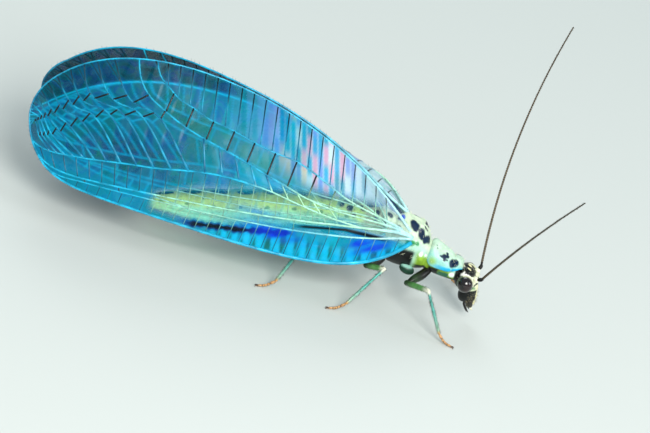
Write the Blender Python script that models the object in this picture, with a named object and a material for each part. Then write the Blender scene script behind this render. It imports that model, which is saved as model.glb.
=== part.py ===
"""A green lacewing at life size, standing with its wings folded like a roof.

The head points along +X, the animal's left side is +Y and +Z is up. The shapes are worked out in
millimetres and brought to metres at the end, when the box's bottom centre becomes the origin.
"""
from math import cos, exp, pi, radians, sin

import bmesh
import bpy
import numpy as np
from mathutils import Euler, Matrix, Vector
from mathutils.geometry import delaunay_2d_cdt

# Millimetres to metres
MM = 0.001

# Space between neighbouring pieces, and the smaller one round an eye
GAP = 0.3
EYE_GAP = 0.25

# Forewing: length, and the numbers of its costal and hind edge, each
# height * (1 - exp(-q / rise)) * (1 - q^power)^end
FOREWING_LENGTH = 13.7
FOREWING_COSTAL = (2.00, 0.112, 17.5, 1.04)
FOREWING_HIND = (3.74, 0.324, 4.06, 0.56)
FOREWING_ROOT = 0.025

# Hindwing: how far back it starts, its length, and its edges as above
HINDWING_START = 1.0
HINDWING_LENGTH = 12.3
HINDWING_COSTAL = (1.36, 0.105, 7.0, 0.70)
HINDWING_HIND = (1.66, 0.22, 5.0, 0.80)
HINDWING_ROOT = 0.03

# Rows of crossveins: from one vein to the next, first and last place, and how far they slant
CROSSVEIN_ROWS = (
    ("costa", "radius", 0.07, 0.91, -0.010),
    ("radius", "sector", 0.22, 0.90, 0.012),
    ("sector", "media", 0.19, 0.55, 0.060),
    ("media", "cubitus", 0.14, 0.66, 0.020),
    ("cubitus", "hind", 0.12, 0.68, 0.030),
)

# Both wings: thickness at the costal and the hind edge, and the veins as ridges
WING_THICKNESS = 0.5
WING_THICKNESS_HIND = 0.36
RIDGE_HALF_WIDTH = 0.105
RIDGE_HEIGHT = 0.11
CELL_CORNER_LEAST = 0.45
CELL_INSET_MOST = 0.55
TIP_START = 0.55
TIP_END = 0.945

# The roof that the wings make: how far its sides lean, the height of the wing's axis, how far out
# the axis lies at the root and beyond it, and how much more the roof bends over near the root
ROOF_LEAN = radians(25)
ROOF_HEIGHT = 2.03
ROOF_RISE = 0.0147
ROOF_ROOT_OUT = 1.08
ROOF_SPREAD = 0.90
ROOF_SPREAD_LENGTH = 1.1
ROOF_TIP_IN = (0.40, 0.45)
ROOF_SLOPE = (0.42, 0.22, 1.6)
ROOF_BEND = (0.030, 0.45, 2.2)

# Main veins, each by the numbers of its formula further down
RADIUS_NUMBERS = (0.15, 0.50, 0.22, 0.07)
MEDIA_NUMBERS = (0.39, 0.49, 1.55, 0.66)
MEDIA_SPACE = 0.18
SECTOR_NUMBERS = (3.5, 0.6, 1.6)
CUBITUS_NUMBERS = (0.5, 2.6, 0.56)

# Where the radial sector leaves the radius and the false cubitus begins
SECTOR_START = 0.14
CUBITUS_START = 0.09

# The sector's branches: first and last start, and the share of them that end on the hind edge
BRANCH_START = 0.60
BRANCH_END = 0.88
BRANCH_SHARE_HIND = 0.30

# Gradate crossveins: how far out on each branch they cross, the bow there, and how far before the
# end of the false media each row begins
INNER_GRADATE = (0.36, 0.015, 0.10)
OUTER_GRADATE = (0.70, 0.010, 0.04)
GRADATE_SHIFT = 0.004

# Points that round the corners of the cut wing tip
TIP_CORNERS = (0.08, 0.92)

# Body stations: (x, middle height, half width, half height), front to back
PROTHORAX = (
    (1.41, 1.71, 0.36, 0.32),
    (1.33, 1.73, 0.46, 0.41),
    (1.14, 1.78, 0.51, 0.47),
    (0.92, 1.84, 0.53, 0.53),
    (0.74, 1.88, 0.54, 0.56),
    (0.64, 1.90, 0.49, 0.50),
)
MESOTHORAX = (
    (0.34, 2.00, 0.44, 0.56),
    (0.18, 2.05, 0.60, 0.74),
    (-0.15, 2.12, 0.68, 0.88),
    (-0.48, 2.16, 0.68, 0.92),
    (-0.68, 2.16, 0.60, 0.84),
)
METATHORAX = (
    (-0.98, 2.16, 0.54, 0.80),
    (-1.14, 2.15, 0.60, 0.86),
    (-1.46, 2.15, 0.58, 0.84),
    (-1.66, 2.18, 0.50, 0.72),
)
BODY_SIDES = 16

# Lobes on the thorax: (x, y, z) and their three radii
LOBE_CENTRE = (0.10, 0.24, 2.66)
LOBE_RADII = (0.28, 0.25, 0.24)
MESOSCUTELLUM_CENTRE = (-0.46, 0.0, 2.98)
MESOSCUTELLUM_RADII = (0.20, 0.26, 0.20)
METASCUTELLUM_CENTRE = (-1.34, 0.0, 2.90)
METASCUTELLUM_RADII = (0.22, 0.28, 0.20)

# Abdomen: ends, heights, and its rings
ABDOMEN_FRONT = -1.96
ABDOMEN_BACK = -8.95
ABDOMEN_HIGH = 2.36
ABDOMEN_DROP = 1.68
ABDOMEN_DROP_POWER = 1.35
ABDOMEN_HALF_WIDTH = 0.50
ABDOMEN_HALF_HEIGHT = 0.66
ABDOMEN_RINGS = 8
ABDOMEN_GROOVE = 0.07
ABDOMEN_SIDES = 14
ABDOMEN_SWELL = (0.90, 0.16, 1.25)
ABDOMEN_TAPER = (0.62, 0.70, 1.6)

# Head
HEAD_CENTRE = (2.04, 0.0, 1.42)
HEAD_RADII = (0.36, 0.58, 0.56)
HEAD_TURN = radians(-18)
FACE_CENTRE = (2.30, 0.0, 1.02)
FACE_RADII = (0.26, 0.36, 0.42)
EYE_CENTRE = (2.06, 0.63, 1.48)
EYE_RADII = (0.27, 0.24, 0.29)
SOCKET_CENTRE = (2.30, 0.36, 1.66)
SOCKET_RADIUS = 0.20
JAW_ROOT = (2.34, 0.16, 0.80)
JAW_KNEE = (2.42, 0.16, 0.54)
JAW_TIP = (2.44, 0.07, 0.36)
JAW_RADII = (0.17, 0.14, 0.05)
PALP_ROOT = (2.24, 0.20, 0.80)
PALP_KNEE = (2.24, 0.31, 0.57)
PALP_TIP = (2.34, 0.30, 0.34)
PALP_RADII = (0.11, 0.09, 0.05)

# Antennae: root, middle and tip of the left one, and of the right one
ANTENNA_LEFT = ((2.38, 0.46, 2.12), (2.32, 2.40, 6.60), (2.86, 3.30, 9.90))
ANTENNA_RIGHT = ((2.52, -0.54, 2.06), (3.48, -3.10, 4.90), (4.60, -5.90, 8.00))
ANTENNA_STATIONS = 17
ANTENNA_ROOT_RADIUS = 0.21
ANTENNA_RADIUS = 0.25
ANTENNA_TIP_RADIUS = 0.14
ANTENNA_THIN_FROM = 0.75

# Legs of the right side: (x, y, z, radius) from the coxa down to the claw
FORE_LEG = (
    (0.60, -0.66, 1.12, 0.24),
    (0.22, -0.82, 1.04, 0.25),
    (0.20, -1.07, 1.10, 0.25),
    (0.58, -1.50, 1.30, 0.27),
    (0.90, -1.90, 1.50, 0.25),
    (1.02, -1.98, 1.34, 0.25),
    (1.36, -2.14, 0.88, 0.24),
    (1.70, -2.30, 0.38, 0.23),
    (1.84, -2.33, 0.20, 0.25),
    (2.20, -2.40, 0.15, 0.24),
)
MID_LEG = (
    (-1.04, -0.54, 0.88, 0.24),
    (-1.34, -0.70, 0.84, 0.24),
    (-1.37, -0.98, 0.96, 0.24),
    (-0.99, -1.16, 1.22, 0.25),
    (-0.73, -1.32, 1.42, 0.24),
    (-0.72, -1.58, 1.37, 0.24),
    (-1.14, -1.97, 0.86, 0.24),
    (-1.58, -2.34, 0.38, 0.23),
    (-1.72, -2.37, 0.20, 0.25),
    (-2.11, -2.40, 0.15, 0.24),
)
HIND_LEG = (
    (-1.97, -0.48, 1.19, 0.24),
    (-2.18, -0.66, 1.07, 0.27),
    (-2.38, -0.82, 1.00, 0.25),
    (-2.66, -0.92, 1.06, 0.27),
    (-3.10, -1.00, 1.15, 0.26),
    (-3.48, -1.08, 1.22, 0.24),
    (-3.60, -1.32, 1.08, 0.24),
    (-3.82, -1.84, 0.74, 0.24),
    (-4.02, -2.34, 0.38, 0.23),
    (-4.14, -2.37, 0.19, 0.25),
    (-4.58, -2.40, 0.14, 0.24),
)

# The left hind leg reaches further back, which keeps the weight between the feet
HIND_LEG_LEFT = (
    (-2.00, -0.48, 1.19, 0.24),
    (-2.26, -0.66, 1.07, 0.27),
    (-2.54, -0.82, 1.00, 0.25),
    (-3.00, -0.96, 1.08, 0.27),
    (-3.50, -1.06, 1.16, 0.26),
    (-3.96, -1.16, 1.24, 0.24),
    (-4.16, -1.38, 1.10, 0.24),
    (-4.78, -1.86, 0.74, 0.24),
    (-5.40, -2.34, 0.38, 0.23),
    (-5.56, -2.37, 0.19, 0.25),
    (-6.42, -2.40, 0.14, 0.24),
)

# How far the left fore and mid feet stand ahead of the mirrored right ones
LEFT_STEP = {"fore": -0.20, "mid": -0.30}

# Colours
CREAM = (0.80, 0.88, 0.58, 1.0)
BLACK = (0.015, 0.017, 0.016, 1.0)
GREEN = (0.42, 0.66, 0.30, 1.0)
TEAL = (0.16, 0.45, 0.30, 1.0)
BROWN = (0.16, 0.10, 0.05, 1.0)
FILM = (0.20, 0.62, 0.80, 0.55)


def clear_scene():
    """Take away whatever the file holds."""
    for thing in list(bpy.data.objects):
        bpy.data.objects.remove(thing, do_unlink=True)


def new_collection(name):
    group = bpy.data.collections.new(name)
    bpy.context.scene.collection.children.link(group)
    return group


def finish_of(name, colour, roughness):
    """A plain finish for one piece."""
    finish = bpy.data.materials.new(name)
    finish.use_nodes = True
    shader = finish.node_tree.nodes["Principled BSDF"]
    shader.inputs["Base Color"].default_value = colour
    shader.inputs["Roughness"].default_value = roughness
    shader.inputs["Metallic"].default_value = 0.0
    shader.inputs["Alpha"].default_value = colour[3]
    return finish


def object_of(name, bm, group):
    """Put a bmesh into a new object."""
    mesh = bpy.data.meshes.new(name)
    bm.to_mesh(mesh)
    bm.free()
    thing = bpy.data.objects.new(name, mesh)
    group.objects.link(thing)
    return thing


def baked(thing, name, group):
    """A plain mesh object of what a curve or a modified object shows."""
    depsgraph = bpy.context.evaluated_depsgraph_get()
    mesh = bpy.data.meshes.new_from_object(thing.evaluated_get(depsgraph))
    result = bpy.data.objects.new(name, mesh)
    result.matrix_world = thing.matrix_world
    group.objects.link(result)
    bpy.data.objects.remove(thing, do_unlink=True)
    return result


def ellipsoid(name, centre, radii, group, turn=(0.0, 0.0, 0.0), across=16, along=10):
    """A ball stretched to three radii and turned."""
    bm = bmesh.new()
    bmesh.ops.create_uvsphere(bm, u_segments=across, v_segments=along, radius=1.0)
    bmesh.ops.scale(bm, vec=radii, verts=bm.verts)
    bmesh.ops.rotate(bm, matrix=Euler(turn).to_matrix(), verts=bm.verts)
    bmesh.ops.translate(bm, vec=centre, verts=bm.verts)
    return object_of(name, bm, group)


def tube(name, points, radii, group, resolution=2):
    """A round rod through the points, with a radius at each and closed ends."""
    curve = bpy.data.curves.new(name, "CURVE")
    curve.dimensions = "3D"
    curve.bevel_depth = 1.0
    curve.bevel_resolution = resolution
    curve.use_fill_caps = True
    spline = curve.splines.new("POLY")
    spline.points.add(len(points) - 1)
    for place, point, radius in zip(spline.points, points, radii):
        place.co = (*point, 1.0)
        place.radius = radius
    rod = bpy.data.objects.new(name + "_path", curve)
    group.objects.link(rod)
    bpy.context.view_layer.update()
    result = baked(rod, name, group)
    bm = bmesh.new()
    bm.from_mesh(result.data)
    bmesh.ops.remove_doubles(bm, verts=bm.verts, dist=0.00001)
    bmesh.ops.recalc_face_normals(bm, faces=bm.faces)
    bm.to_mesh(result.data)
    bm.free()
    return result


def loft(name, stations, group, sides=BODY_SIDES):
    """A body through upright oval rings, each (x, middle height, half width, half height)."""
    bm = bmesh.new()
    rings = []
    for x, middle, half_width, half_height in stations:
        ring = []
        for k in range(sides):
            angle = 2.0 * pi * k / sides
            place = (x, half_width * cos(angle), middle + half_height * sin(angle))
            ring.append(bm.verts.new(place))
        rings.append(ring)
    for ahead, behind in zip(rings, rings[1:]):
        for k in range(sides):
            after = (k + 1) % sides
            bm.faces.new((ahead[k], ahead[after], behind[after], behind[k]))
    bm.faces.new(rings[0])
    bm.faces.new(list(reversed(rings[-1])))
    bmesh.ops.recalc_face_normals(bm, faces=bm.faces)
    return object_of(name, bm, group)


def keep_largest(thing):
    """Leave only the largest closed surface of a fused piece."""
    bm = bmesh.new()
    bm.from_mesh(thing.data)
    left = set(bm.verts)
    shells = []
    while left:
        shell = {left.pop()}
        edge_of_shell = list(shell)
        while edge_of_shell:
            vert = edge_of_shell.pop()
            for edge in vert.link_edges:
                other = edge.other_vert(vert)
                if other in left:
                    left.remove(other)
                    shell.add(other)
                    edge_of_shell.append(other)
        shells.append(shell)
    shells.sort(key=len)
    for shell in shells[:-1]:
        bmesh.ops.delete(bm, geom=list(shell), context="VERTS")
    bm.to_mesh(thing.data)
    bm.free()
    return thing


def boolean(thing, others, operation):
    """Join the others to a piece, or cut them from it, and take them away."""
    group = bpy.data.collections.new(thing.name + "_" + operation.lower())
    for other in others:
        group.objects.link(other)
    step = thing.modifiers.new(operation, "BOOLEAN")
    step.operation = operation
    step.operand_type = "COLLECTION"
    step.collection = group
    step.solver = "EXACT"
    bpy.context.view_layer.update()
    name = thing.name
    thing.name = name + "_raw"
    result = baked(thing, name, thing.users_collection[0])
    for other in others:
        bpy.data.objects.remove(other, do_unlink=True)
    bpy.data.collections.remove(group)
    return keep_largest(result)


def cut_flat(thing, level):
    """Cut a piece off below a level and close it with a flat."""
    bm = bmesh.new()
    bm.from_mesh(thing.data)
    everything = bm.verts[:] + bm.edges[:] + bm.faces[:]
    cut = bmesh.ops.bisect_plane(
        bm, geom=everything, plane_co=(0.0, 0.0, level), plane_no=(0.0, 0.0, -1.0), clear_outer=True
    )
    rim = [part for part in cut["geom_cut"] if isinstance(part, bmesh.types.BMEdge)]
    bmesh.ops.holes_fill(bm, edges=rim, sides=0)
    bmesh.ops.recalc_face_normals(bm, faces=bm.faces)
    bm.to_mesh(thing.data)
    bm.free()


def mirrored(thing, name, group):
    """The same piece on the other side of the body."""
    bm = bmesh.new()
    bm.from_mesh(thing.data)
    for vert in bm.verts:
        vert.co.y = -vert.co.y
    bmesh.ops.reverse_faces(bm, faces=bm.faces)
    return object_of(name, bm, group)


def edge_height(q, numbers):
    """How far a wing's edge lies from its axis at the share q of its length."""
    height, rise, power, end = numbers
    return height * (1.0 - exp(-q / rise)) * (1.0 - q**power) ** end


def edge_reach(t, numbers):
    """The share of the length where the rounded tip comes to t from the axis."""
    height, rise, power, end = numbers
    q = 1.0
    for _ in range(6):
        q = (1.0 - (abs(t) / (height * (1.0 - exp(-q / rise)))) ** (1.0 / end)) ** (1.0 / power)
    return q


def wing_place(wing, q, f):
    """A point of the flat wing: q along it and f across, from the costal edge to the hind edge."""
    low = -edge_height(q, wing["costal"])
    high = edge_height(q, wing["hind"])
    t = low + f * (high - low)
    along = q
    if q > TIP_START:
        end_low = -edge_height(TIP_END, wing["costal"])
        end_high = edge_height(TIP_END, wing["hind"])
        end_t = end_low + f * (end_high - end_low)
        reach = edge_reach(end_t, wing["costal"] if end_t < 0.0 else wing["hind"])
        share = (q - TIP_START) / (TIP_END - TIP_START)
        along = q + share * share * (reach - TIP_END)
    return along * wing["length"], t


def roof_place(s, t, depth):
    """A point of the roof s behind the wing root and t from the wing's axis, depth inward."""

    def middle(along, across):
        slope, more_slope, slope_fade = ROOF_SLOPE
        bend, more_bend, bend_fade = ROOF_BEND
        spread = 1.0 - exp(-((along / ROOF_SPREAD_LENGTH) ** 2))
        share = along / FOREWING_LENGTH
        out = -ROOF_ROOT_OUT - ROOF_SPREAD * spread
        out += ROOF_TIP_IN[0] * share**4 + ROOF_TIP_IN[1] * share**8
        out += (slope + more_slope * exp(-along / slope_fade)) * across
        out += (bend + more_bend * exp(-along / bend_fade)) * across * across
        height = ROOF_HEIGHT + ROOF_RISE * along + across
        return Vector((-along, out, (height - out * sin(ROOF_LEAN)) / cos(ROOF_LEAN)))

    small = 0.01
    lengthwise = middle(s + small, t) - middle(s - small, t)
    crosswise = middle(s, t + small) - middle(s, t - small)
    inward = lengthwise.cross(crosswise).normalized()
    if inward.y < 0.0:
        inward.negate()
    return middle(s, t) + depth * inward


def radius_line(q):
    """Radius vein: how far across the wing it lies."""
    level, rise, fade, drop = RADIUS_NUMBERS
    return level + rise * exp(-q / fade) - drop * q**4


def media_line(q):
    """False media, which runs from the root to the hind edge."""
    level, slope, more_slope, turn = MEDIA_NUMBERS
    rise = level + slope * q + more_slope * max(q - turn, 0.0)
    return min(max(rise, radius_line(q) + MEDIA_SPACE), 1.0)


def sector_line(q):
    """Radial sector, which leaves the radius near the root and comes back to it at the tip."""
    height, start, end = SECTOR_NUMBERS
    share = height * max(q - SECTOR_START, 0.0) ** start * (1.0 - q) ** end
    return radius_line(q) + share * (media_line(q) - radius_line(q))


def cubitus_line(q):
    """False cubitus, between the media and the hind edge."""
    level, slope, turn = CUBITUS_NUMBERS
    share = level + slope * max(q - turn, 0.0)
    return min(media_line(q) + (1.0 - media_line(q)) * share, 1.0)


VEIN_LINES = {
    "costa": lambda q: 0.0,
    "radius": radius_line,
    "sector": sector_line,
    "media": media_line,
    "cubitus": cubitus_line,
    "hind": lambda q: 1.0,
}


def end_of(line):
    """Where a vein line comes to the hind edge."""
    q = 0.5
    while line(q) < 0.9999 and q < TIP_END:
        q += 0.002
    return round(q, 3)


def spread(start, end, count):
    """Evenly spaced places along a vein."""
    return [round(start + (end - start) * k / (count - 1), 3) for k in range(count)]


def branch_runs(count, media_end):
    """The sector's branches: start, inner step, outer step and end of each, as (q, f)."""
    runs = []
    for k, q in enumerate(spread(BRANCH_START, BRANCH_END, count)):
        share = (k + 1) / (count + 1)
        if share < BRANCH_SHARE_HIND:
            end = Vector((media_end + (TIP_END - media_end) * share / BRANCH_SHARE_HIND, 1.0))
        else:
            down = (share - BRANCH_SHARE_HIND) / (1.0 - BRANCH_SHARE_HIND)
            end = Vector((TIP_END, 1.0 - down * (1.0 - sector_line(TIP_END))))
        start = Vector((q, sector_line(q)))
        inner = start.lerp(end, INNER_GRADATE[0]) + Vector((GRADATE_SHIFT, INNER_GRADATE[1]))
        outer = start.lerp(end, OUTER_GRADATE[0]) + Vector((GRADATE_SHIFT, OUTER_GRADATE[1]))
        runs.append([start, inner, outer, end])
    return runs


def vein_net(wing):
    """The flat wing's veins as points and the lines between them."""
    places = []
    lines = set()
    known = {}

    def point(q, f):
        key = (round(q, 3), round(f, 3))
        if key not in known:
            known[key] = len(places)
            places.append(Vector(wing_place(wing, *key)))
        return known[key]

    def join(run):
        for first, second in zip(run, run[1:]):
            if first != second:
                lines.add((min(first, second), max(first, second)))

    root = wing["root"]
    rows = wing["rows"]
    media_end = end_of(media_line)
    cubitus_end = end_of(cubitus_line)
    inner_start = media_end - INNER_GRADATE[2]
    outer_start = media_end - OUTER_GRADATE[2]
    stops = {
        "costa": {root, TIP_END},
        "radius": {root, SECTOR_START, TIP_END},
        "sector": {SECTOR_START, TIP_END},
        "media": {root, CUBITUS_START, inner_start, outer_start, media_end},
        "cubitus": {CUBITUS_START, cubitus_end},
        "hind": {root, CUBITUS_START, cubitus_end, media_end, TIP_END},
    }
    for first, second, start, end, slant in CROSSVEIN_ROWS:
        for q in spread(start, end, rows[first]):
            far = round(q + slant, 3)
            stops[first].add(q)
            stops[second].add(far)
            join([point(q, VEIN_LINES[first](q)), point(far, VEIN_LINES[second](far))])
    first_cubitus = point(CUBITUS_START, cubitus_line(CUBITUS_START))
    join([point(CUBITUS_START, media_line(CUBITUS_START)), first_cubitus, point(CUBITUS_START, 1.0)])

    branches = branch_runs(rows["branches"], media_end)
    stops["sector"] |= {round(branch[0].x, 3) for branch in branches}
    stops["hind"] |= {round(branch[3].x, 3) for branch in branches if branch[3].y == 1.0}
    for name, values in stops.items():
        order = sorted({round(q, 3) for q in values})
        halves = [
            round((first + second) / 2.0, 3)
            for first, second in zip(order, order[1:])
            if second - first > wing["longest"]
        ]
        join([point(q, VEIN_LINES[name](q)) for q in sorted(order + halves)])

    runs = [[point(*place) for place in branch] for branch in branches]
    for run in runs:
        join(run)
    for step, q in ((1, inner_start), (2, outer_start)):
        join([point(q, media_line(q))] + [run[step] for run in runs])

    tip = [0.0, *TIP_CORNERS, 1.0, sector_line(TIP_END), radius_line(TIP_END)]
    tip += [branch[3].y for branch in branches if branch[3].y < 1.0]
    join([point(TIP_END, f) for f in sorted(tip)])
    join([point(root, VEIN_LINES[name](root)) for name in ("costa", "radius", "media", "hind")])
    return places, sorted(lines)


def wing_cells(wing):
    """The points of the net and the cells between its veins."""
    places, lines = vein_net(wing)
    result = delaunay_2d_cdt(places, lines, [], 3, 0.0001)
    return result[0], [list(face) for face in result[2]]


def inset_corners(corners):
    """The corners of a cell moved inward by half a vein's width."""
    middle = sum(corners, Vector((0.0, 0.0))) / len(corners)
    moved = []
    count = len(corners)
    for k in range(count):
        here = corners[k]
        back = (here - corners[k - 1]).normalized()
        ahead = (corners[(k + 1) % count] - here).normalized()
        inward = Vector((-back.y, back.x)) + Vector((-ahead.y, ahead.x))
        push = inward * RIDGE_HALF_WIDTH / max(1.0 + back.dot(ahead), CELL_CORNER_LEAST)
        most = CELL_INSET_MOST * (middle - here).length
        if push.length > most or push.dot(middle - here) < 0.0:
            push = (middle - here) * CELL_INSET_MOST
        moved.append(here + push)
    return moved


def wing_solid(name, wing, group):
    """A wing of even cells, with its veins raised in the outer face."""
    places, cells = wing_cells(wing)
    bm = bmesh.new()
    crest = [bm.verts.new((place.x, place.y, 0.0)) for place in places]
    under = bmesh.new()
    sole = [under.verts.new((place.x, place.y, 0.0)) for place in places]
    for cell in cells:
        corners = [places[k] for k in cell]
        area = sum(a.x * b.y - b.x * a.y for a, b in zip(corners, corners[1:] + corners[:1]))
        if area < 0.0:
            cell = list(reversed(cell))
            corners.reverse()
        under.faces.new([sole[k] for k in cell])
        inner = [bm.verts.new((place.x, place.y, 0.0)) for place in inset_corners(corners)]
        bm.faces.new(inner)
        for k in range(len(cell)):
            after = (k + 1) % len(cell)
            bm.faces.new((crest[cell[k]], crest[cell[after]], inner[after], inner[k]))
    bmesh.ops.triangulate(bm, faces=bm.faces[:])
    bmesh.ops.triangulate(under, faces=under.faces[:])
    bm.verts.index_update()
    under.verts.index_update()

    def lifted(vert, side):
        low = -edge_height(min(vert.co.x / wing["length"], TIP_END), wing["costal"])
        high = edge_height(min(vert.co.x / wing["length"], TIP_END), wing["hind"])
        share = min(max((vert.co.y - low) / (high - low), 0.0), 1.0)
        thickness = WING_THICKNESS + share * (WING_THICKNESS_HIND - WING_THICKNESS)
        return roof_place(vert.co.x + wing["start"], vert.co.y, wing["depth"] + side * thickness / 2.0)

    whole = bmesh.new()
    top = []
    for vert in bm.verts:
        place = lifted(vert, -1.0)
        if vert.index < len(crest):
            inner = lifted(vert, 1.0)
            place += RIDGE_HEIGHT * (place - inner).normalized()
        top.append(whole.verts.new(place))
    bottom = [whole.verts.new(lifted(vert, 1.0)) for vert in under.verts]
    for face in bm.faces:
        whole.faces.new([top[vert.index] for vert in face.verts])
    for face in under.faces:
        whole.faces.new([bottom[vert.index] for vert in reversed(face.verts)])
    for edge in under.edges:
        if edge.is_boundary:
            first, second = (vert.index for vert in edge.verts)
            whole.faces.new((top[first], top[second], bottom[second], bottom[first]))
    bm.free()
    under.free()
    bmesh.ops.recalc_face_normals(whole, faces=whole.faces)
    bmesh.ops.triangulate(whole, faces=whole.faces)
    return object_of(name, whole, group)


def forewing(group):
    wing = {
        "length": FOREWING_LENGTH,
        "costal": FOREWING_COSTAL,
        "hind": FOREWING_HIND,
        "root": FOREWING_ROOT,
        "start": 0.0,
        "depth": 0.0,
        "longest": 0.07,
        "rows": {"costa": 18, "radius": 12, "sector": 7, "media": 8, "cubitus": 11, "branches": 8},
    }
    return wing_solid("forewing_right", wing, group)


def hindwing(group):
    wing = {
        "length": HINDWING_LENGTH,
        "costal": HINDWING_COSTAL,
        "hind": HINDWING_HIND,
        "root": HINDWING_ROOT,
        "start": HINDWING_START,
        "depth": WING_THICKNESS + RIDGE_HEIGHT + GAP,
        "longest": 0.10,
        "rows": {"costa": 10, "radius": 9, "sector": 5, "media": 6, "cubitus": 8, "branches": 6},
    }
    return wing_solid("hindwing_right", wing, group)


def prothorax(group):
    return loft("prothorax", PROTHORAX, group)


def mesothorax(group):
    """The large middle ring, with two lobes in front and the scutellum behind."""
    body = loft("mesothorax", MESOTHORAX, group)
    lobes = []
    for side in (-1.0, 1.0):
        centre = (LOBE_CENTRE[0], LOBE_CENTRE[1] * side, LOBE_CENTRE[2])
        lobes.append(ellipsoid("lobe", centre, LOBE_RADII, group))
    lobes.append(ellipsoid("scutellum", MESOSCUTELLUM_CENTRE, MESOSCUTELLUM_RADII, group))
    return boolean(body, lobes, "UNION")


def metathorax(group):
    """The hind ring, with its own small scutellum."""
    body = loft("metathorax", METATHORAX, group)
    lobes = [ellipsoid("scutellum", METASCUTELLUM_CENTRE, METASCUTELLUM_RADII, group)]
    return boolean(body, lobes, "UNION")


def abdomen(group):
    """The abdomen as one bent row of rings, with a groove between each two."""
    stations = []
    steps = ABDOMEN_RINGS * 3
    level, rise, stretch = ABDOMEN_SWELL
    loss, taper_start, power = ABDOMEN_TAPER
    for k in range(steps + 1):
        u = k / steps
        x = ABDOMEN_FRONT + (ABDOMEN_BACK - ABDOMEN_FRONT) * u
        middle = ABDOMEN_HIGH - ABDOMEN_DROP * u**ABDOMEN_DROP_POWER
        swell = level + rise * sin(pi * min(u * stretch, 1.0))
        taper = 1.0 - loss * (max(u - taper_start, 0.0) / (1.0 - taper_start)) ** power
        groove = ABDOMEN_GROOVE if k % 3 == 0 and 0 < k < steps else 0.0
        size = swell * taper * (1.0 - groove)
        stations.append((x, middle, ABDOMEN_HALF_WIDTH * size, ABDOMEN_HALF_HEIGHT * size))
    return loft("abdomen", stations, group, ABDOMEN_SIDES)


def head(group):
    """The head capsule with face, jaws, palps and antenna sockets, and hollows for the eyes."""
    capsule = ellipsoid("head", HEAD_CENTRE, HEAD_RADII, group, (0.0, HEAD_TURN, 0.0), 20, 12)
    pieces = [ellipsoid("face", FACE_CENTRE, FACE_RADII, group, (0.0, HEAD_TURN, 0.0))]
    for side in (-1.0, 1.0):
        socket = (SOCKET_CENTRE[0], SOCKET_CENTRE[1] * side, SOCKET_CENTRE[2])
        pieces.append(ellipsoid("socket", socket, (SOCKET_RADIUS,) * 3, group, across=12, along=8))
        jaw = [(x, y * side, z) for x, y, z in (JAW_ROOT, JAW_KNEE, JAW_TIP)]
        pieces.append(tube("jaw", jaw, JAW_RADII, group))
        palp = [(x, y * side, z) for x, y, z in (PALP_ROOT, PALP_KNEE, PALP_TIP)]
        pieces.append(tube("palp", palp, PALP_RADII, group))
    whole = boolean(capsule, pieces, "UNION")
    room = []
    for side in (-1.0, 1.0):
        centre = (EYE_CENTRE[0], EYE_CENTRE[1] * side, EYE_CENTRE[2])
        radii = [radius + EYE_GAP for radius in EYE_RADII]
        room.append(ellipsoid("eye_room", centre, radii, group, across=18, along=12))
    return boolean(whole, room, "DIFFERENCE")


def eye(group):
    """The right eye, a smooth dome."""
    centre = (EYE_CENTRE[0], -EYE_CENTRE[1], EYE_CENTRE[2])
    return ellipsoid("eye_right", centre, EYE_RADII, group, across=16, along=12)


def antenna(name, ends, group):
    """A long thin feeler on a smooth bow through three places."""
    root, middle, tip = (Vector(place) for place in ends)
    share = (middle - root).length / ((middle - root).length + (tip - middle).length)
    pull = (middle - root.lerp(tip, share)) / (2.0 * share * (1.0 - share))
    points = []
    radii = []
    for k in range(ANTENNA_STATIONS):
        u = k / (ANTENNA_STATIONS - 1)
        points.append(root.lerp(tip, u) + pull * (2.0 * u * (1.0 - u)))
        share_thin = max(u - ANTENNA_THIN_FROM, 0.0) / (1.0 - ANTENNA_THIN_FROM)
        thin = ANTENNA_RADIUS + (ANTENNA_TIP_RADIUS - ANTENNA_RADIUS) * share_thin
        radii.append(thin if k > 0 else ANTENNA_ROOT_RADIUS)
    return tube(name, points, radii, group)


def leg(name, stations, group, side=-1.0, step=0.0):
    """A leg from coxa to claw on one side, with its foot a step along and a flat under it."""
    points = []
    for k, (x, y, z, _) in enumerate(stations):
        share = k / (len(stations) - 1)
        points.append((x + step * share, abs(y) * side, z))
    radii = [station[3] for station in stations]
    limb = tube(name, points, radii, group)
    cut_flat(limb, 0.0)
    return limb


def dress(things):
    """Give each piece its own finish and smooth shading."""
    colours = {
        "eye": (BLACK, 0.12),
        "antenna": (BROWN, 0.5),
        "leg": (TEAL, 0.45),
        "forewing": (FILM, 0.2),
        "hindwing": (FILM, 0.2),
        "abdomen": (GREEN, 0.5),
        "head": (CREAM, 0.4),
    }
    for thing in things:
        kind = thing.name.split("_")[0]
        colour, roughness = colours.get(kind, (CREAM, 0.45))
        thing.data.materials.clear()
        thing.data.materials.append(finish_of(thing.name, colour, roughness))
        thing.data.shade_smooth()
        thing.data.set_sharp_from_angle(angle=radians(40))


def settle(things):
    """Bring the pieces to metres, with the box's bottom centre at the origin."""
    corners = np.array([tuple(vert.co) for thing in things for vert in thing.data.vertices])
    low = corners.min(axis=0)
    high = corners.max(axis=0)
    middle = Vector(((low[0] + high[0]) / 2.0, (low[1] + high[1]) / 2.0, low[2]))
    for thing in things:
        thing.data.transform(Matrix.Scale(MM, 4) @ Matrix.Translation(-middle))
    print("moved by", tuple(round(-value, 4) for value in middle), "mm")


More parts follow.
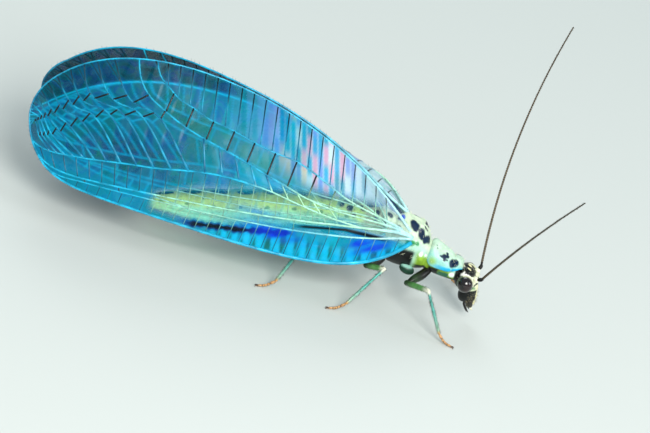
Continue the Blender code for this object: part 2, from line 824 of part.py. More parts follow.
def main():
    clear_scene()
    group = new_collection("green_lacewing")
    things = [prothorax(group), mesothorax(group), metathorax(group), abdomen(group), head(group)]
    for thing in (eye(group), forewing(group), hindwing(group)):
        things += [thing, mirrored(thing, thing.name.replace("right", "left"), group)]
    for name, stations in (("fore", FORE_LEG), ("mid", MID_LEG)):
        things.append(leg("leg_" + name + "_right", stations, group))
        things.append(leg("leg_" + name + "_left", stations, group, 1.0, LEFT_STEP[name]))
    things.append(leg("leg_hind_right", HIND_LEG, group))
    things.append(leg("leg_hind_left", HIND_LEG_LEFT, group, 1.0))
    things.append(antenna("antenna_left", ANTENNA_LEFT, group))
    things.append(antenna("antenna_right", ANTENNA_RIGHT, group))
    dress(things)
    settle(things)


main()
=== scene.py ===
from math import cos, radians, sin

import bpy
import numpy as np
from mathutils import Matrix


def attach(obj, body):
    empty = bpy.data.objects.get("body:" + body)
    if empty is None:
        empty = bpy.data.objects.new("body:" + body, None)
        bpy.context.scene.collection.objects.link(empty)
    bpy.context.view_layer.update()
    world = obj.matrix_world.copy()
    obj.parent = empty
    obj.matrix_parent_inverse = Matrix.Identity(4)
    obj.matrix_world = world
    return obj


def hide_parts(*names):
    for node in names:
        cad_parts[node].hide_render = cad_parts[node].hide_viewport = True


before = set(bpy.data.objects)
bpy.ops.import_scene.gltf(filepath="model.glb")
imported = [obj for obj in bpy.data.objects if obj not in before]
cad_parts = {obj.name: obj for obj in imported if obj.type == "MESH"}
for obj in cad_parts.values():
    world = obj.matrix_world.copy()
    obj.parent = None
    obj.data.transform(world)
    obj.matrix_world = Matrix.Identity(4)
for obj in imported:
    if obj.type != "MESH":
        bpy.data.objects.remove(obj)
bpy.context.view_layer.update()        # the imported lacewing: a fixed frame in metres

chance = np.random.default_rng(7)

# Shapes are worked out in the animal's own millimetres: +X ahead, +Y to its left, +Z up, with the
# forewing's root at x = 0; adding the shift and scaling brings them into the frame
space = {"shift": np.array([4.5331, 1.2832, 0.0]), "metre": 0.001}


# v divided by its length
def unit(v):
    return v / np.maximum(np.linalg.norm(v, axis=-1, keepdims=True), 1e-12)


# 0 below low, 1 above high, and the smooth cubic 3t^2 - 2t^3 between
def ease(x, low, high):
    t = np.clip((x - low) / (high - low), 0.0, 1.0)
    return t * t * (3.0 - 2.0 * t)


# A smooth curve through stations: between two of them a cubic that has the weighted mean slope at both
def flow(at, places, values):
    places = np.asarray(places, float)
    values = np.asarray(values, float)
    if places[0] > places[-1]:
        places, values = places[::-1], values[::-1]
    slopes = np.gradient(values, places, axis=0)
    k = np.clip(np.searchsorted(places, at) - 1, 0, len(places) - 2)
    width = places[k + 1] - places[k]
    u = np.clip((at - places[k]) / width, 0.0, 1.0)
    if values.ndim > 1:
        u, width = u[:, None], width[:, None]
    start = (1.0 + 2.0 * u) * (1.0 - u) ** 2 * values[k] + u * (1.0 - u) ** 2 * width * slopes[k]
    end = u * u * (3.0 - 2.0 * u) * values[k + 1] - u * u * (1.0 - u) * width * slopes[k + 1]
    return start + end


# The faces of a patch turned so that its enclosed volume, the sum of a . (b x c) / 6, is positive
def outward(patch):
    p = patch["points"]
    tri = np.concatenate([patch["quads"][:, [0, 1, 2]], patch["quads"][:, [0, 2, 3]], patch["triangles"]])
    middle = p.mean(axis=0)
    a, b, c = (p[tri[:, i]] - middle for i in range(3))
    volume = np.einsum("ij,ij->", a, np.cross(b, c))
    if volume < 0.0:
        patch["quads"] = patch["quads"][:, ::-1]
        patch["triangles"] = patch["triangles"][:, ::-1]
    return patch


# Rods along n paths at once: round each path point a ring of point + radius * (cos a * side + sin a * up),
# where side is the tangent x lean; a pole closes each end. paths is (n, m, 3), radii (n, m)
def rods(paths, radii, sides=6, lean=(0.0, 0.0, 1.0), poles=(0.0, 0.0), **values):
    n, m = paths.shape[:2]
    tangent = unit(np.gradient(paths, axis=1))
    side = unit(np.cross(tangent, np.broadcast_to(np.asarray(lean, float), paths.shape)))
    up = np.cross(side, tangent)
    turn = 2.0 * np.pi * np.arange(sides) / sides
    spoke = np.cos(turn)[:, None] * side[:, :, None] + np.sin(turn)[:, None] * up[:, :, None]
    rings = paths[:, :, None] + radii[:, :, None, None] * spoke
    first = paths[:, 0] - poles[0] * tangent[:, 0]
    last = paths[:, -1] + poles[1] * tangent[:, -1]
    points = np.concatenate([rings.reshape(n, m * sides, 3), first[:, None], last[:, None]], axis=1)
    k = np.arange(sides)
    after = (k + 1) % sides
    band = np.stack([k, after, after + sides, k + sides], axis=1)
    quads = (band[None] + sides * np.arange(m - 1)[:, None, None]).reshape(-1, 4)
    startFan = np.stack([np.full(sides, m * sides), after, k], axis=1)
    endFan = np.stack([np.full(sides, m * sides + 1), k + (m - 1) * sides, after + (m - 1) * sides], axis=1)
    fans = np.concatenate([startFan, endFan])
    step = (m * sides + 2) * np.arange(n)[:, None, None]
    patch = {
        "points": points.reshape(-1, 3),
        "quads": (quads[None] + step).reshape(-1, 4),
        "triangles": (fans[None] + step).reshape(-1, 3),
    }
    for key, value in values.items():
        value = np.asarray(value, float)
        if value.ndim < 2 or value.shape[:2] != (n, m):
            value = np.broadcast_to(value, (n, m) + value.shape[-1:] if value.ndim else (n, m))
        around = np.repeat(value, sides, axis=1)
        patch[key] = np.concatenate([around, value[:, :1], value[:, -1:]], axis=1).reshape((-1,) + value.shape[2:])
    return outward(patch)


# A closed skin through rings (n, k, 3), each end closed to the middle of its ring
def ringSkin(rings, **values):
    n, k = rings.shape[:2]
    points = np.concatenate([rings.reshape(-1, 3), rings[:1].mean(axis=1), rings[-1:].mean(axis=1)])
    j = np.arange(k)
    after = (j + 1) % k
    band = np.stack([j, after, after + k, j + k], axis=1)
    quads = (band[None] + k * np.arange(n - 1)[:, None, None]).reshape(-1, 4)
    fans = np.concatenate([
        np.stack([np.full(k, n * k), after, j], axis=1),
        np.stack([np.full(k, n * k + 1), j + (n - 1) * k, after + (n - 1) * k], axis=1),
    ])
    patch = {"points": points, "quads": quads, "triangles": fans}
    for key, value in values.items():
        tail = value.shape[2:]
        patch[key] = np.concatenate([value.reshape((-1,) + tail), value[:1].mean(axis=1), value[-1:].mean(axis=1)])
    return outward(patch)


# A ball stretched to three radii and pitched about Y: latitude rings of cos(lat), closed at both poles
def ball(centre, radii, pitch=0.0, across=20, along=14, **values):
    lat = np.linspace(-0.5, 0.5, along + 1)[1:-1] * np.pi
    lon = 2.0 * np.pi * np.arange(across) / across
    rings = np.stack([
        np.cos(lat)[:, None] * np.cos(lon), np.cos(lat)[:, None] * np.sin(lon), np.sin(lat)[:, None] + 0.0 * lon
    ], axis=2)
    poles = np.array([[0.0, 0.0, -1.0], [0.0, 0.0, 1.0]])
    spread = {key: np.broadcast_to(np.asarray(v, float), rings.shape[:2] + np.shape(v)) for key, v in values.items()}
    patch = ringSkin(rings, **spread)
    patch["points"][-2:] = poles
    turned = patch["points"] * np.asarray(radii)
    c, s = cos(pitch), sin(pitch)
    turn = np.array([[c, 0.0, s], [0.0, 1.0, 0.0], [-s, 0.0, c]])
    patch["points"] = turned @ turn.T + np.asarray(centre)
    return outward(patch)


# A thin closed sheet: its middle surface moved half the thickness both ways along the normal, and a rim
def sheetSolid(middle, normal, thickness, **values):
    rows, columns = middle.shape[:2]
    count = rows * columns
    half = normal * np.asarray(thickness)[..., None] / 2.0
    index = np.arange(count).reshape(rows, columns)
    face = np.stack([index[:-1, :-1], index[1:, :-1], index[1:, 1:], index[:-1, 1:]], axis=2).reshape(-1, 4)
    border = np.concatenate([index[0, :-1], index[:-1, -1], index[-1, :0:-1], index[:0:-1, 0]])
    ahead = np.roll(border, -1)
    rim = np.stack([border, ahead, ahead + count, border + count], axis=1)
    patch = {
        "points": np.concatenate([(middle + half).reshape(-1, 3), (middle - half).reshape(-1, 3)]),
        "quads": np.concatenate([face, face[:, ::-1] + count, rim]),
        "triangles": np.zeros((0, 3), int),
    }
    for key, value in values.items():
        flat = value.reshape((-1,) + value.shape[2:])
        patch[key] = np.concatenate([flat, flat])
    return outward(patch)


# The same patch on the animal's other side
def mirrored(patch):
    other = dict(patch)
    other["points"] = patch["points"] * np.array([1.0, -1.0, 1.0])
    return outward(other)


# One mesh object from patches laid end to end; values named tone... are numbers and paint... are colours
# at the points, and bake is the patch of the map that each hair takes its colour from
def pieceOf(name, patches, material, replaced=()):
    starts = np.cumsum([0] + [len(patch["points"]) for patch in patches])
    points = np.concatenate([patch["points"] for patch in patches])
    quads = np.concatenate([patch["quads"] + start for patch, start in zip(patches, starts)])
    triangles = np.concatenate([patch["triangles"] + start for patch, start in zip(patches, starts)])
    mesh = bpy.data.meshes.new(name)
    mesh.from_pydata((points + space["shift"]) * space["metre"], [], quads.tolist() + triangles.tolist())
    for key in sorted(set(patches[0]) - {"points", "quads", "triangles"}):
        value = np.concatenate([patch[key] for patch in patches])
        if key == "bake":
            corners = np.concatenate([quads.ravel(), triangles.ravel()])
            mesh.uv_layers.new(name="OFBake").data.foreach_set("uv", value[corners].ravel())
        elif key.startswith("paint"):
            rgba = np.concatenate([value, np.ones((len(value), 1))], axis=1)
            mesh.attributes.new(key, "FLOAT_COLOR", "POINT").data.foreach_set("color", rgba.ravel())
        else:
            mesh.attributes.new(key, "FLOAT", "POINT").data.foreach_set("value", value.ravel())
    mesh.shade_smooth()
    mesh.materials.append(material)
    piece = bpy.data.objects.new(name, mesh)
    bpy.context.scene.collection.objects.link(piece)
    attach(piece, "root")
    if replaced:
        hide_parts(*replaced)
    print("made", name, len(quads) * 2 + len(triangles), "triangles")
    return piece


# A material whose colour is the painted one, mottled by noise at two scales, with fine bumps
def cuticle(name, roughness=0.42, mottle=0.25, fineSize=0.05, bump=0.25, coat=0.25, sheen=0.0, coarseSize=0.25):
    finish = bpy.data.materials.new(name)
    finish.use_nodes = True
    nodes, links = finish.node_tree.nodes, finish.node_tree.links
    shader = nodes["Principled BSDF"]
    shader.inputs["Coat Weight"].default_value = coat
    shader.inputs["Coat Roughness"].default_value = 0.15
    shader.inputs["Specular IOR Level"].default_value = 0.22
    shader.inputs["Sheen Weight"].default_value = sheen
    place = nodes.new("ShaderNodeTexCoord")
    paint = nodes.new("ShaderNodeAttribute")
    paint.attribute_name = "paint"
    coarse = nodes.new("ShaderNodeTexNoise")
    coarse.inputs["Scale"].default_value = 1000.0 / coarseSize
    coarse.inputs["Detail"].default_value = 4.0
    fine = nodes.new("ShaderNodeTexNoise")
    fine.inputs["Scale"].default_value = 1000.0 / fineSize
    fine.inputs["Detail"].default_value = 2.0
    links.new(place.outputs["Object"], coarse.inputs["Vector"])
    links.new(place.outputs["Object"], fine.inputs["Vector"])
    strength = nodes.new("ShaderNodeMapRange")
    strength.inputs["From Min"].default_value = 0.3
    strength.inputs["From Max"].default_value = 0.7
    strength.inputs["To Min"].default_value = 1.0 - mottle
    strength.inputs["To Max"].default_value = 1.0 + 0.6 * mottle
    links.new(coarse.outputs["Fac"], strength.inputs["Value"])
    shaded = nodes.new("ShaderNodeVectorMath")
    shaded.operation = "SCALE"
    links.new(paint.outputs["Color"], shaded.inputs[0])
    links.new(strength.outputs["Result"], shaded.inputs["Scale"])
    links.new(shaded.outputs["Vector"], shader.inputs["Base Color"])
    rough = nodes.new("ShaderNodeMapRange")
    rough.inputs["To Min"].default_value = roughness - 0.12
    rough.inputs["To Max"].default_value = roughness + 0.14
    links.new(fine.outputs["Fac"], rough.inputs["Value"])
    links.new(rough.outputs["Result"], shader.inputs["Roughness"])
    relief = nodes.new("ShaderNodeBump")
    relief.inputs["Strength"].default_value = bump
    relief.inputs["Distance"].default_value = 0.00001
    links.new(fine.outputs["Fac"], relief.inputs["Height"])
    links.new(relief.outputs["Normal"], shader.inputs["Normal"])
    return finish


# WINGS
wings = {
    "lean": radians(25.0),      # how far the roof's sides lean
    "height": 2.03,             # height of the wing's axis across the roof, and its rise to the rear
    "rise": 0.0147,
    "tipIn": (0.40, 0.62),      # how far the tips come in, smoothly and at the very tip
    "slope": (0.42, 0.22, 1.6),
    "bend": (0.030, 0.45, 2.2),
    "film": 0.016,              # thickness of the membrane
    "swirl": 0.16,              # share of the soap film's colours in the membrane's
    "dome": 0.011,              # how far each cell's membrane bulges between its veins
    "tipCut": (0.008, 0.006),   # share of the length that the tip is blunted by, all over and at its middle
    "paleVein": (0.46, 0.80, 0.80), "skyVein": (0.01, 0.46, 0.72), "deepVein": (0.0, 0.14, 0.28),
    "clearVein": (0.46, 0.86, 0.52),            # where a vein passes over the abdomen
    "blackVein": (0.000, 0.005, 0.009),
}
foreWing = {
    "length": 13.684, "start": 0.0, "root": 0.008,
    "costal": (2.005, 0.1116, 17.5, 1.037), "hind": (3.855, 0.3235, 4.056, 0.559),    # the edges' numbers
    "rootOut": 0.66, "spread": 1.29, "spreadLength": 1.1,
    "edgeOut": (0.11, 0.45, 0.44),      # the hind edge's distance from the middle: least, at the root, at the tip
    "starts": (0.572, 0.612, 0.652, 0.692, 0.728, 0.760, 0.788, 0.813, 0.836, 0.857, 0.876, 0.894),
    "thick": 1.0,
    "rows": (   # from one vein to the next: count, first and last place, slant, darkness, radius
        ("costa", "subcosta", 31, 0.045, 0.88, -0.006, 0.55, 0.020),
        ("subcosta", "radius", 9, 0.12, 0.80, 0.004, 1.0, 0.020),
        ("radius", "sector", 25, 0.19, 0.91, 0.010, 0.70, 0.021),
        ("sector", "media", 9, 0.195, 0.533, 0.028, 0.05, 0.036),
        ("media", "cubitus", 10, 0.170, 0.664, -0.004, 1.0, 0.034),
        ("cubitus", "hind", 21, 0.08, 0.71, 0.020, 0.30, 0.026),
    ),
}
hindWing = {
    "length": 12.55, "start": 0.9, "root": 0.010,
    "costal": (1.42, 0.105, 7.0, 0.70), "hind": (2.7494, 0.1575, 4.782, 1.012),
    "rootOut": 0.60, "spread": 1.12, "spreadLength": 1.1,
    "edgeOut": (0.05, 0.40, 0.36),
    "starts": (0.58, 0.63, 0.675, 0.715, 0.75, 0.782, 0.810, 0.836, 0.860, 0.882),
    "thick": 0.80,
    "rows": (
        ("costa", "subcosta", 20, 0.05, 0.86, -0.006, 0.6, 0.019),
        ("subcosta", "radius", 6, 0.14, 0.80, 0.004, 1.0, 0.018),
        ("radius", "sector", 9, 0.19, 0.91, 0.010, 0.2, 0.018),
        ("sector", "media", 7, 0.20, 0.53, 0.028, 0.10, 0.026),
        ("media", "cubitus", 8, 0.18, 0.66, -0.004, 0.9, 0.026),
        ("cubitus", "hind", 15, 0.08, 0.70, 0.020, 0.35, 0.022),
    ),
}
# pink, gold and violet, and white in part, colour the painted iridescent reflection; black, and royal in part, the
# painted shade bands
filmColours = {
    "teal": (0.000, 0.150, 0.185), "green": (0.000, 0.19, 0.17), "cyan": (0.000, 0.31, 0.44), "blue": (0.000, 0.11, 0.36),
    "dusk": (0.000, 0.022, 0.040), "sky": (0.00, 0.44, 0.74), "violet": (0.20, 0.32, 0.88), "pink": (0.92, 0.42, 0.56),
    "white": (0.80, 0.97, 1.00), "gold": (1.00, 0.80, 0.50), "royal": (0.000, 0.030, 0.60), "black": (0.000, 0.004, 0.008),
}
tipStart, tipEnd = 0.55, 0.945    # where the rounding of the tip begins, and the share that is the tip's edge


# Height of an edge over the wing's axis at the share q of its length: h (1 - exp(-q/r)) (1 - q^n)^b
def edgeHeight(q, numbers):
    height, rise, power, end = numbers
    return height * (1.0 - np.exp(-q / rise)) * (1.0 - q**power) ** end


# The share of the length where the tip's edge comes to t from the axis, by repeated substitution in the
# edge's formula; near the axis t is taken as sqrt(t^2 + 0.2^2), which rounds the tip
def edgeReach(t, numbers):
    height, rise, power, end = numbers
    away = np.sqrt(t * t + 0.04)
    q = np.ones_like(t)
    for _ in range(6):
        q = (1.0 - np.minimum(away / (height * (1.0 - np.exp(-q / rise))), 1.0) ** (1.0 / end)) ** (1.0 / power)
    return q


# Length along and distance across of the flat wing at q along and f across: t = low + f (high - low);
# towards the tip the lines of equal q bend until they follow the tip's edge
def wingPlace(wing, q, f):
    low = -edgeHeight(q, wing["costal"])
    t = low + f * (edgeHeight(q, wing["hind"]) - low)
    endLow = -edgeHeight(tipEnd, wing["costal"])
    endT = endLow + f * (edgeHeight(tipEnd, wing["hind"]) - endLow)
    fromCostal, fromHind = edgeReach(endT, wing["costal"]), edgeReach(endT, wing["hind"])
    reach = fromCostal + ease(endT, -0.4, 0.4) * (fromHind - fromCostal)
    reach = reach - wings["tipCut"][0] - wings["tipCut"][1] * np.exp(-(((endT - 0.1) / 0.6) ** 2))
    share = np.clip((q - tipStart) / (tipEnd - tipStart), 0.0, None)
    return wing["start"] + wing["length"] * (q + share**2 * (reach - tipEnd)), t


# The right wing's place in space at s behind the forewing's root and t across. Out is how far the wing
# stands from the middle plane: it spreads behind the root as 1 - exp(-(s/l)^2), leans in with t and t^2,
# and towards its hind edge it is drawn to the edge's own distance. Height is set by s and t alone
def roofPlace(wing, s, t):
    slope, moreSlope, slopeFade = wings["slope"]
    bend, moreBend, bendFade = wings["bend"]

    def outAt(t):
        spread = 1.0 - np.exp(-((np.maximum(s - wing["start"], 0.0) / wing["spreadLength"]) ** 2))
        out = -wing["rootOut"] - wing["spread"] * spread
        out = out + wings["tipIn"][0] * (s / 13.7) ** 4 + wings["tipIn"][1] * (s / 13.7) ** 8
        out = out + (slope + moreSlope * np.exp(-s / slopeFade)) * t
        return out + (bend + moreBend * np.exp(-s / bendFade)) * t * t

    top = edgeHeight(np.clip(s / 13.684, 0.002, 0.995), foreWing["hind"])
    top = np.maximum(top, 1.6 * ease(s, 6.0, 12.0))
    drawn = np.clip(t / top, 0.0, 1.0) ** 2
    least, atRoot, atTip = wing["edgeOut"]
    target = -least - atRoot * np.exp(-((s / 0.9) ** 2)) - atTip * ease(s, 6.5, 12.5)
    out = outAt(t) + drawn * (target - outAt(top))
    z = (wings["height"] + wings["rise"] * s + t - out * sin(wings["lean"])) / cos(wings["lean"])
    return np.stack([-s, out, z], axis=-1)


# The place and the outward normal there, from small steps along and across
def roofFrame(wing, s, t):
    step = 0.01
    along = roofPlace(wing, s + step, t) - roofPlace(wing, s - step, t)
    across = roofPlace(wing, s, t + step) - roofPlace(wing, s, t - step)
    normal = unit(np.cross(along, across))
    normal = np.where(normal[..., 1:2] > 0.0, -normal, normal)
    return roofPlace(wing, s, t), normal


# The main veins and the two zigzag rows, as stations (q, f) of smooth curves
veinStations = {
    "radius": ((0.0, 0.76), (0.05, 0.60), (0.148, 0.43), (0.20, 0.375), (0.297, 0.29), (0.40, 0.225), (0.50, 0.18),
               (0.624, 0.138), (0.727, 0.108), (0.82, 0.08), (0.90, 0.05), (0.945, 0.03)),
    "sector": ((0.14, 0.443), (0.20, 0.425), (0.313, 0.42), (0.365, 0.425), (0.415, 0.418), (0.45, 0.41), (0.52, 0.385),
               (0.577, 0.35), (0.644, 0.305), (0.712, 0.275), (0.779, 0.243), (0.86, 0.20), (0.945, 0.13)),
    "media": ((0.0, 0.78), (0.05, 0.68), (0.10, 0.60), (0.15, 0.545), (0.20, 0.505), (0.287, 0.49), (0.336, 0.506),
              (0.384, 0.519), (0.429, 0.538), (0.466, 0.553), (0.531, 0.576), (0.588, 0.603), (0.648, 0.658),
              (0.679, 0.70), (0.714, 0.76), (0.749, 0.88), (0.770, 1.0)),
    "cubitus": ((0.03, 0.76), (0.06, 0.72), (0.114, 0.675), (0.194, 0.655), (0.226, 0.67), (0.281, 0.70), (0.33, 0.71),
                (0.396, 0.69), (0.421, 0.69), (0.514, 0.712), (0.566, 0.722), (0.607, 0.755), (0.645, 0.785),
                (0.68, 0.85), (0.709, 0.92), (0.725, 1.0)),
    "inner": ((0.651, 0.646), (0.701, 0.623), (0.748, 0.602), (0.782, 0.585), (0.823, 0.52), (0.853, 0.446),
              (0.88, 0.36), (0.92, 0.26), (0.945, 0.21)),
    "outer": ((0.636, 0.796), (0.672, 0.738), (0.715, 0.713), (0.762, 0.701), (0.798, 0.69), (0.838, 0.67),
              (0.862, 0.62), (0.90, 0.50), (0.925, 0.40), (0.945, 0.32)),
    "rear": ((0.30, 0.94), (0.51, 0.922), (0.63, 0.899), (0.707, 0.863), (0.812, 0.798), (0.88, 0.745), (0.945, 0.67)),
}


# How far across the wing a vein lies at the share q of its length
def veinAt(name, q):
    stations = np.array(veinStations[name])
    return np.minimum(flow(q, stations[:, 0], stations[:, 1]), 1.0)


veinLines = {
    "costa": lambda q: 0.0 * q,
    "subcosta": lambda q: veinAt("radius", q) * 0.72 * (1.0 - ease(q, 0.80, 0.95)),
    "radius": lambda q: veinAt("radius", q),
    "sector": lambda q: veinAt("sector", q),
    "media": lambda q: veinAt("media", q),
    "cubitus": lambda q: veinAt("cubitus", q),
    "hind": lambda q: 0.0 * q + 1.0,
}
mediaEnd, cubitusEnd = 0.770, 0.725


# A place on the outer edge: e from 0 where the false media ends, along the hind edge and round the tip to
# where the sector ends
def marginPlace(e):
    hindShare = 0.30
    onHind = e < hindShare
    q = np.where(onHind, mediaEnd + (tipEnd - mediaEnd) * e / hindShare, tipEnd)
    f = np.where(onHind, 1.0, 1.0 - (e - hindShare) / (1.0 - hindShare) * (1.0 - veinAt("sector", tipEnd)))
    return np.stack([q, f], axis=-1)


# All veins as runs of (q, f), radius and darkness: the main ones, the sector's branches as smooth curves
# over the two zigzag rows to the edge, the rows themselves, forks at the edge and the straight crossveins
def veinRuns(wing):
    runs = {"long": [], "branch": [], "cross": []}
    thick = wing["thick"]
    u = np.linspace(0.0, 1.0, 72)
    for name, start, end, radius, tipRadius, swell, dark in (
        ("costa", wing["root"], tipEnd, 0.062, 0.036, 0.2, 0.0),
        ("subcosta", wing["root"], 0.95, 0.034, 0.022, 0.2, 0.10),
        ("radius", wing["root"], tipEnd, 0.048, 0.028, 0.35, 0.0),
        ("sector", 0.14, tipEnd, 0.040, 0.026, 0.2, 0.0),
        ("media", wing["root"], mediaEnd, 0.042, 0.028, 0.15, 0.05),
        ("cubitus", 0.04, cubitusEnd, 0.036, 0.024, 0.4, 0.10),
        ("hind", wing["root"], tipEnd, 0.034, 0.027, 0.4, 0.0),
    ):
        q = start + (end - start) * u
        radii = (radius + (tipRadius - radius) * u) * (1.0 + swell * np.exp(-((q / 0.24) ** 2))) * thick
        runs["long"].append((np.stack([q, veinLines[name](q)], 1), radii, dark + 0.0 * u))
    runs["long"].append((np.stack([0.0 * u + tipEnd, u], 1), (0.036 - 0.009 * u) * thick, 0.0 * u))

    starts = np.array(wing["starts"])
    first = np.stack([starts, veinAt("sector", starts)], 1)
    ends = flow(starts, [0.572, 0.612, 0.657, 0.705, 0.75, 0.80, 0.85, 0.90], [0.10, 0.168, 0.224, 0.29, 0.40, 0.55, 0.72, 0.90])
    last = marginPlace(ends)
    innerQ = np.minimum(starts + 0.104 - 0.25 * np.maximum(starts - 0.65, 0.0), 0.5 * starts + 0.475)
    outerQ = np.minimum(starts + 0.178 - 0.50 * np.maximum(starts - 0.65, 0.0), 0.3 * starts + 0.664)
    inner = np.stack([innerQ, np.maximum(veinAt("inner", innerQ), veinAt("sector", innerQ) + 0.02)], 1)
    outer = np.stack([outerQ, np.maximum(veinAt("outer", outerQ), inner[:, 1] + 0.02)], 1)
    branchU = np.linspace(0.0, 1.0, 22)
    branches = [flow(branchU, [0.0, 0.36, 0.66, 1.0], np.stack(knots)) for knots in zip(first, inner, outer, last)]
    for branch, end in zip(branches, ends):
        dark = ease(branchU, 0.74, 0.88) * (1.0 - ease(end, 0.45, 0.75))
        runs["branch"].append((branch, (0.040 - 0.016 * branchU) * thick, 0.9 * dark))

    def onBranch(k, at):
        return np.array([np.interp(at, branchU, branches[k][:, axis]) for axis in (0, 1)])

    crossings = []
    for k in range(len(starts) - 1):
        for at, shift in ((0.34, 0.07), (0.64, 0.06)):
            crossings.append((onBranch(k, at + shift), onBranch(k + 1, at), 1.0, 1.0, 0.034))
        fork = marginPlace((ends[k] + ends[k + 1]) / 2.0)
        dim = 0.9 * (1.0 - ease(ends[k], 0.45, 0.75))
        crossings.append((onBranch(k, 0.80), fork, dim, dim, 0.022))
    for q, k in ((0.666, 0.34), (0.714, 0.62)):
        crossings.append((np.array([q, veinAt("media", q)]), onBranch(0, k), 1.0, 1.0, 0.034))
    for near, far, rows, start, end, slant, dark, radius in wing["rows"]:
        for q in np.linspace(start, end, rows):
            ahead = np.clip(q + slant, 0.0, {"media": mediaEnd, "cubitus": cubitusEnd}.get(far, tipEnd))
            farDark = 1.0 if far == "hind" else dark
            crossings.append((np.array([q, veinLines[near](q)]), np.array([ahead, veinLines[far](ahead)]), dark, farDark, radius))
    crossU = np.linspace(0.0, 1.0, 7)
    for near, far, dark, farDark, radius in crossings:
        shade = dark + (farDark - dark) * ease(crossU, 0.35, 0.8)
        runs["cross"].append((near + crossU[:, None] * (far - near), radius * thick + 0.0 * crossU, shade))
    return runs, branches


# Which cell of the net each place lies in, as a number between 0 and 1 that looks random from cell to cell
def cellTone(wing, q, f, branches):
    bounds = [veinLines[name](q) for name in ("subcosta", "radius", "sector", "media", "cubitus")]
    band = sum((f > bound).astype(float) for bound in bounds)
    along = np.zeros_like(q)
    for number, (_, _, rows, start, end, slant, _, _) in enumerate(wing["rows"]):
        index = np.floor((q - 0.5 * slant - start) / (end - start) * (rows - 1.0))
        along = np.where(band == number, np.clip(index, -1.0, rows), along)
    passed = sum((f > np.interp(q, branch[:, 0], branch[:, 1])) & (q > branch[0, 0]) for branch in branches)
    row = 1.0 * (f > veinAt("inner", q)) + 1.0 * (f > veinAt("outer", q))
    along = np.where((band >= 3) & (q > 0.60), 40.0 + passed * 3.0 + row, along)
    return np.modf(np.abs(np.sin(band * 37.7 + along * 11.31 + 1.7)) * 437.585)[0]


# Where the abdomen lies behind the wing, as a share: exp(-((t - its middle) / half its height)^6) along it
def overAbdomen(s, t):
    u = np.clip((s - 1.98) / 6.94, 0.0, 1.0)
    middle = 2.36 - 1.68 * u**1.35 - 0.18 * np.exp(-(((u - 0.66) / 0.24) ** 2))
    middle = 0.9063 * middle - wings["height"] - wings["rise"] * s
    half = 0.69 - 0.32 * ease(u, 0.72, 1.0)
    return np.exp(-(((t - middle) / half) ** 6)) * ease(s, 0.6, 1.6) * (1.0 - ease(s, 8.5, 9.0))


# Where the thorax lies behind the wing's root: a band across t that fades out behind it
def overThorax(s, t):
    return ease(t, -0.35, -0.15) * (1.0 - ease(t, 0.55, 0.70)) * (1.0 - ease(s, 1.3, 2.3))


# A number between 0 and 1 for each whole number, that looks random
def scatter(number):
    return np.modf(np.abs(np.sin(number * 12.9898 + 4.1)) * 43758.547)[0]


# The pearly part's colour, a painted iridescent reflection: bars across the wing, each cut into lengths, every
# length one of six colours and every bar's edge white
def sheenBars(s, t, colour):
    pearls = np.array([colour[name] for name in ("white", "violet", "sky", "pink", "cyan", "violet", "sky", "white", "gold", "sky")])
    along = (s - 0.32 * t) / 0.19
    bar = np.floor(along)
    up = t / 0.62 + 3.0 * scatter(bar)
    row = np.floor(up)
    pick, after = ((scatter(bar * 7.0 + step * 3.1) * len(pearls)).astype(int) for step in (row, row + 1.0))
    share = ease(up - row, 0.45, 1.0)[..., None]
    mixed = pearls[pick] + share * (pearls[after] - pearls[pick])
    edge = np.abs(along - bar - 0.5) * 2.0
    return mixed + (0.5 * ease(edge, 0.5, 0.95))[..., None] * (colour["white"] - mixed)
